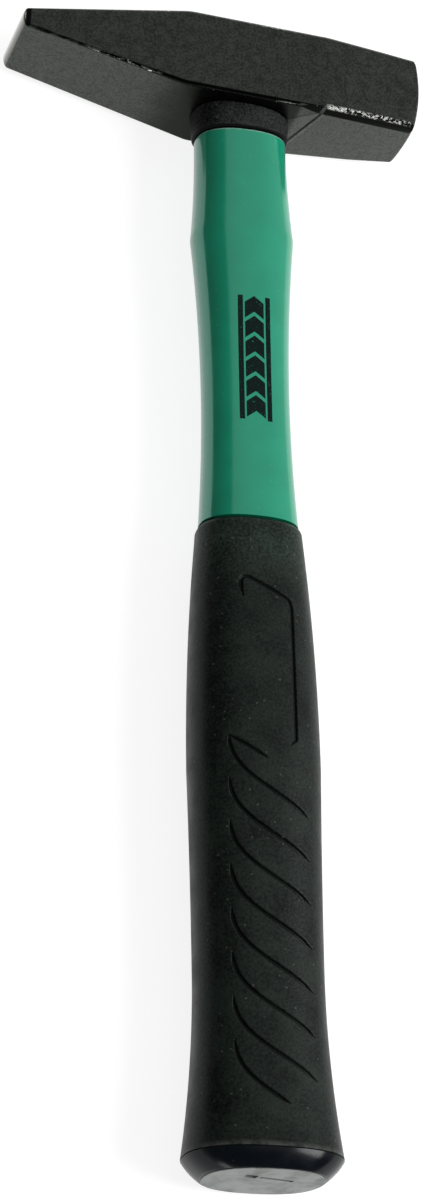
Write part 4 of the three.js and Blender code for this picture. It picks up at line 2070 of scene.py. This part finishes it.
        for reach in self.search_reaches:
            near = set()
            for face in bm.faces:
                centre = face.calc_center_median()
                if tree.find(flat(centre))[2] < reach and on_skin(centre):
                    near.update(face.edges)
            bmesh.ops.subdivide_edges(bm, edges=list(near), cuts=1, use_grid_fill=True)
        for vert in bm.verts:
            _, index, distance = tree.find(flat(vert.co))
            if distance > far or not on_skin(vert.co):
                continue
            section = form.grip_section(-vert.co.y)
            out = form.reach(vert.co, section)
            vert.co.x /= out
            vert.co.z /= out
            width = self.groove_half_width * shares[index]
            bottom = self.bottom_share * width
            share = min(1.0, max(0.0, (distance - bottom) / (width - bottom)))
            pressed = 1 - share * share * (3 - 2 * share)
            depth = self.groove_depth * min(1.0, shares[index] + self.depth_lead) * pressed
            vert.co -= form.outward(vert.co, section) * depth
            # The pressed depth also sets the painted shade in the groove
            vert[groove] = pressed

    def build(self, material: Material) -> None:
        """Makes and dresses the grip.

        Args:
            material: Its finish.
        """
        form = self.workshop.form
        end = form.grip_mouth.at(form.jacket_end.below + FIT_GAP)
        outer = [
            *(section for stretch in form.grip() for section in stretch.sections()),
            *form.rounded(end, self.mouth_radius, Direction.HEAD),
        ]
        mouth = form.grip_mouth.inset(form.grip_wall).at(end.below)
        bm = loft(form, [*outer, mouth, *form.grip_lining(form.grip_wall)[::-1]], sleeve=True)
        edge = bm.verts.layers.float.new(EDGE_ATTRIBUTE)
        for vert in bm.verts:
            vert[edge] = float(vert.co.y < self.butt_margin - form.butt.below)
        self._press(bm)
        self.workshop.piece(
            "soft_grip", bm, "grip_sleeve", "grip_rubber", material, sharp_degrees=50
        )


@dataclass
class ButtEnd:
    """The bevelled cap at the end of the handle and the plate that is let into it.

    Attributes:
        bulge_share: How far out the bevel bulges between its two ends.
        seat_rim: Width of the cap's rim round the plate.
        plate_rim: How far the plate's edge lies inside the cap's.
        lip_depth: How far the rim lies below the plate's face.
        mark_rise: How far the two marks lie from the middle, towards the upper cheek.
        mark_lead: How far from the middle the first mark starts.
        mark_tilt: How far the marks are turned, in degrees.
        bevel_margin: How far from the rim the bevel's steps start again.
        skirt: How far short of the rim's level the plate's edge ends.
    """

    workshop: Workshop
    bulge_share: float = 0.62
    bevel_steps: int = 12
    seat_rim: float = 0.55
    plate_rim: float = 0.1
    lip_depth: float = 0.25
    plate_thickness: float = 0.9
    plate_edge: float = 0.12
    mark_depth: float = 0.5
    mark_rise: float = 3.0
    mark_lead: float = 2.5
    mark_lengths: Band = (3.0, 8.6)
    mark_widths: Band = (2.1, 1.2)
    mark_tilt: float = 12.0
    bevel_margin: float = 0.02
    skirt: float = 0.05

    def _bevel(self) -> list[Section]:
        """Shapes the swollen bevel.

        Returns:
            Its sections, from the end face to the grip.
        """
        form = self.workshop.form
        end = form.cap_end
        butt = form.butt.at(form.butt.below + FIT_GAP)
        control = Section(
            lerp(end.below, butt.below, 1 - self.bulge_share),
            lerp(end.width, butt.width, self.bulge_share),
            lerp(end.thickness, butt.thickness, self.bulge_share),
        )
        steps = self.bevel_steps
        return [end.curve(control, butt, step / steps) for step in range(steps + 1)]

    def build_cap(self, material: Material) -> None:
        """Makes and dresses the cap.

        Args:
            material: Its finish.
        """
        form = self.workshop.form
        lip = form.cap_end.below - self.lip_depth
        seat = form.cap_end.inset(self.seat_rim)
        start = lip - self.bevel_margin
        bevel = [section for section in self._bevel() if section.below < start]
        sections = [
            seat.at(form.cap_end.below - self.plate_thickness - FIT_GAP),
            seat.at(lip),
            form.cap_end.at(lip),
            *bevel,
            form.rod.at(bevel[-1].below),
            form.rod.at(form.cap_end.below - form.spigot_length),
        ]
        bm = loft(form, sections)
        self.workshop.piece(
            "bevelled_cap", bm, "butt_cap", "gloss_black", material, sharp_degrees=32
        )

    def build_plate(self, material: Material) -> None:
        """Makes and dresses the end plate with its two plain marks.

        Args:
            material: Its finish.
        """
        form = self.workshop.form
        outer = form.cap_end.inset(self.plate_rim)
        under = outer.at(outer.below - self.lip_depth + self.skirt)
        let_in = form.cap_end.inset(self.seat_rim + FIT_GAP)
        edge = form.rounded(outer, self.plate_edge, Direction.BUTT)
        foot = let_in.at(outer.below - self.plate_thickness)
        bm = loft(form, [*edge, under, let_in.at(under.below), foot])
        middles = (-self.mark_lead - self.mark_lengths[0] / 2, self.mark_lead)
        rise = Matrix.Translation((0, 0, self.mark_rise))
        turn = Matrix.Rotation(math.radians(self.mark_tilt), 4, "Y")
        for length, width, middle in zip(self.mark_lengths, self.mark_widths, middles):
            slot = bmesh.new()
            size = Matrix.Diagonal((length, 2 * self.mark_depth, width, 1))
            bmesh.ops.create_cube(slot, size=1, matrix=size)
            slot.transform(rise @ turn @ Matrix.Translation((middle, -outer.below, 0)))
            bm = self.workshop.carve(bm, slot)
        self.workshop.piece("flat_end", bm, "end_plate", "pale_plastic", material)


# ---------------------------------------------------------------- studio


@dataclass(frozen=True)
class Softbox:
    """A soft lamp: where it stands from its target, its size and its power."""

    name: str
    place: Triple
    size: Band
    power: float


@dataclass
class Studio:
    """The floor, the light and the camera.

    Attributes:
        workshop: The workshop, for the place of the hammer.
        floor_size: Side of the floor, in metres.
        floor_shade: How pale the floor is to the hammer, from 0 to 1.
        floor_seen: How much of the light on it the floor shows the camera.
        floor_lift: Light that the floor adds for the camera and in mirrors.
        overhead: Strength of the wide softbox overhead.
        overhead_edge: How far left of upright the softbox reaches, as a slope.
        dim: Strength of the dim part of the room, on the left and at the front.
        target: What the lamps point at, from where the axes cross, in metres.
        focal_pixels: The camera's focal length, in pixels of the photograph.
        frame_height: The photograph's height in pixels.
        eye: Where the camera stands, in millimetres from where the axes cross.
        back: The direction from what the camera sees to the camera.
        up: The direction that is upward in the picture.
    """

    workshop: Workshop
    floor_size: float = 8.0
    floor_shade: float = 0.8
    floor_seen: float = 0.3
    floor_lift: float = 0.86
    floor_roughness: float = 0.9
    floor_level: float = 0.1
    overhead: float = 0.62
    overhead_edge: float = 0.357
    overhead_fade: Band = (-0.02, 0.03)
    front_fade: Band = (-0.45, -0.2)
    dim: float = 0.12
    target: Triple = (0.0, -0.1, 0.0)
    focal_pixels: float = 3930.36
    frame_height: int = 1200
    sensor: float = 36.0
    eye: Triple = (-261.012, -522.029, 835.324)
    back: Triple = (-0.26494, -0.39603, 0.87919)
    up: Triple = (-0.09637, 0.91808, 0.38451)
    lamps: tuple[Softbox, ...] = (
        Softbox("right_softbox", (1.2, -0.35, 1.1), (0.9, 0.9), 27.0),
        Softbox("front_softbox", (-0.2, -1.5, 0.1), (1.2, 0.16), 5.0),
    )

    def build_floor(self) -> None:
        """Makes the plain pale floor."""
        bm = bmesh.new()
        bmesh.ops.create_grid(bm, x_segments=1, y_segments=1, size=self.floor_size / 2)
        floor = meshed("floor", bm)
        material = bpy.data.materials.new("floor")
        material.use_nodes = True
        graph = Graph(material.node_tree)
        path = graph.node("ShaderNodeLightPath").outputs
        rays = ("Is Camera Ray", "Is Glossy Ray", "Is Transmission Ray")
        seen = graph.most(*(path[ray] for ray in rays))
        shades = ((self.floor_shade,) * 3, (self.floor_seen,) * 3)
        values = {
            "Base Color": graph.blend(seen, *shades),
            "Roughness": self.floor_roughness,
            "Specular IOR Level": self.floor_level,
            "Emission Color": graph.blend(seen, (0.0,) * 3, (1.0,) * 3),
            "Emission Strength": self.floor_lift,
        }
        shader = material.node_tree.nodes["Principled BSDF"]
        for name, value in values.items():
            graph.give(shader.inputs[name], value)
        floor.data.materials.append(material)

    def _room(self, graph: Graph) -> NodeSocket:
        """Shapes the room's light: a wide softbox overhead, dim on the left and at the front.

        Args:
            graph: The world's nodes.

        Returns:
            The light's strength.
        """
        x, y, z = graph.axes(graph.node("ShaderNodeTexCoord").outputs["Generated"])
        edge = graph.math("ADD", x, graph.product(z, self.overhead_edge))
        inside = graph.product(
            graph.ramp(edge, self.overhead_fade), graph.ramp(y, self.front_fade)
        )
        return graph.ramp(inside, (0.0, 1.0), (self.dim, self.overhead))

    def build_light(self) -> None:
        """Makes the softboxes at the side and the front, and the world."""
        target = self.workshop.crossing + Vector(self.target)
        for box in self.lamps:
            lamp = bpy.data.lights.new(box.name, "AREA")
            lamp.shape = "RECTANGLE"
            lamp.size, lamp.size_y = box.size
            lamp.energy = box.power
            holder = linked(box.name, lamp)
            holder.location = target + Vector(box.place)
            holder.rotation_euler = Vector(box.place).to_track_quat("Z", "Y").to_euler()
        world = bpy.data.worlds.new("studio")
        bpy.context.scene.world = world
        world.use_nodes = True
        graph = Graph(world.node_tree)
        seen = graph.node("ShaderNodeLightPath").outputs["Is Camera Ray"]
        background = world.node_tree.nodes["Background"]
        graph.give(background.inputs["Color"], graph.most(self._room(graph), seen))

    def build_camera(self) -> None:
        """Puts the camera at the photograph's viewing angle."""
        camera = bpy.data.cameras.new("camera")
        camera.sensor_width = self.sensor
        camera.lens = self.focal_pixels / self.frame_height * self.sensor
        back = Vector(self.back).normalized()
        right = Vector(self.up).cross(back).normalized()
        turn = Matrix((right, back.cross(right), back)).transposed().to_4x4()
        place = self.workshop.crossing + Vector(self.eye) * METRES_PER_MM
        holder = linked("camera", camera)
        holder.matrix_world = Matrix.Translation(place) @ turn
        bpy.context.scene.camera = holder
        bpy.context.scene.view_settings.view_transform = "Standard"


# ---------------------------------------------------------------- hammer


@dataclass
class Hammer:
    """The whole hammer, piece by piece."""

    workshop: Workshop
    effects: Effects = field(default_factory=Effects)

    def _finish(self, finish: Finish) -> Material:
        """Builds the material of a finish."""
        return finish.material(self.workshop, self.effects)

    def _dress(self, node: str, finish: Finish) -> None:
        """Gives a carried-over solid its finish.

        Args:
            node: The solid's name.
            finish: The finish.
        """
        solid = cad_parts[node]
        solid.data.materials.clear()
        solid.data.materials.append(self._finish(finish))
        LOG.info("%s: dressed as %s", node, finish.name)

    def build(self) -> None:
        """Makes the pieces in order, from the head to the butt."""
        head = HammerHead(self.workshop)
        lines = head.lines()
        paint = self._finish(BlackPaint(lines=lines))
        # The ground flat's paint is painted near black all over, as shade and dark reflection
        flat_painted_dark = self._finish(BlackPaint(lines=lines, name="painted_dark_flat", flat_painted_dark=1.0))
        head.build(paint, self._finish(BareSteel(low=lines.nose)), flat_painted_dark)
        self._dress("eye_resin", CastResin())
        self._dress("fibreglass_rod", GlassStrands())
        NeckCollar(self.workshop, head).build(self._finish(COLLAR_BLACK))
        HandleJacket(self.workshop, head).build(self._finish(PrintedGreen()))
        GripSleeve(self.workshop).build(self._finish(GRIP_BLACK))
        butt = ButtEnd(self.workshop)
        butt.build_cap(self._finish(CAP_BLACK))
        butt.build_plate(self._finish(PALE_PLASTIC))


def main() -> None:
    """Builds the hammer and its studio."""
    logging.basicConfig(level=logging.INFO, format="%(message)s")
    workshop = Workshop(HandleForm())
    Hammer(workshop).build()
    studio = Studio(workshop)
    studio.build_floor()
    studio.build_light()
    studio.build_camera()


if __name__ == "__main__":
    main()
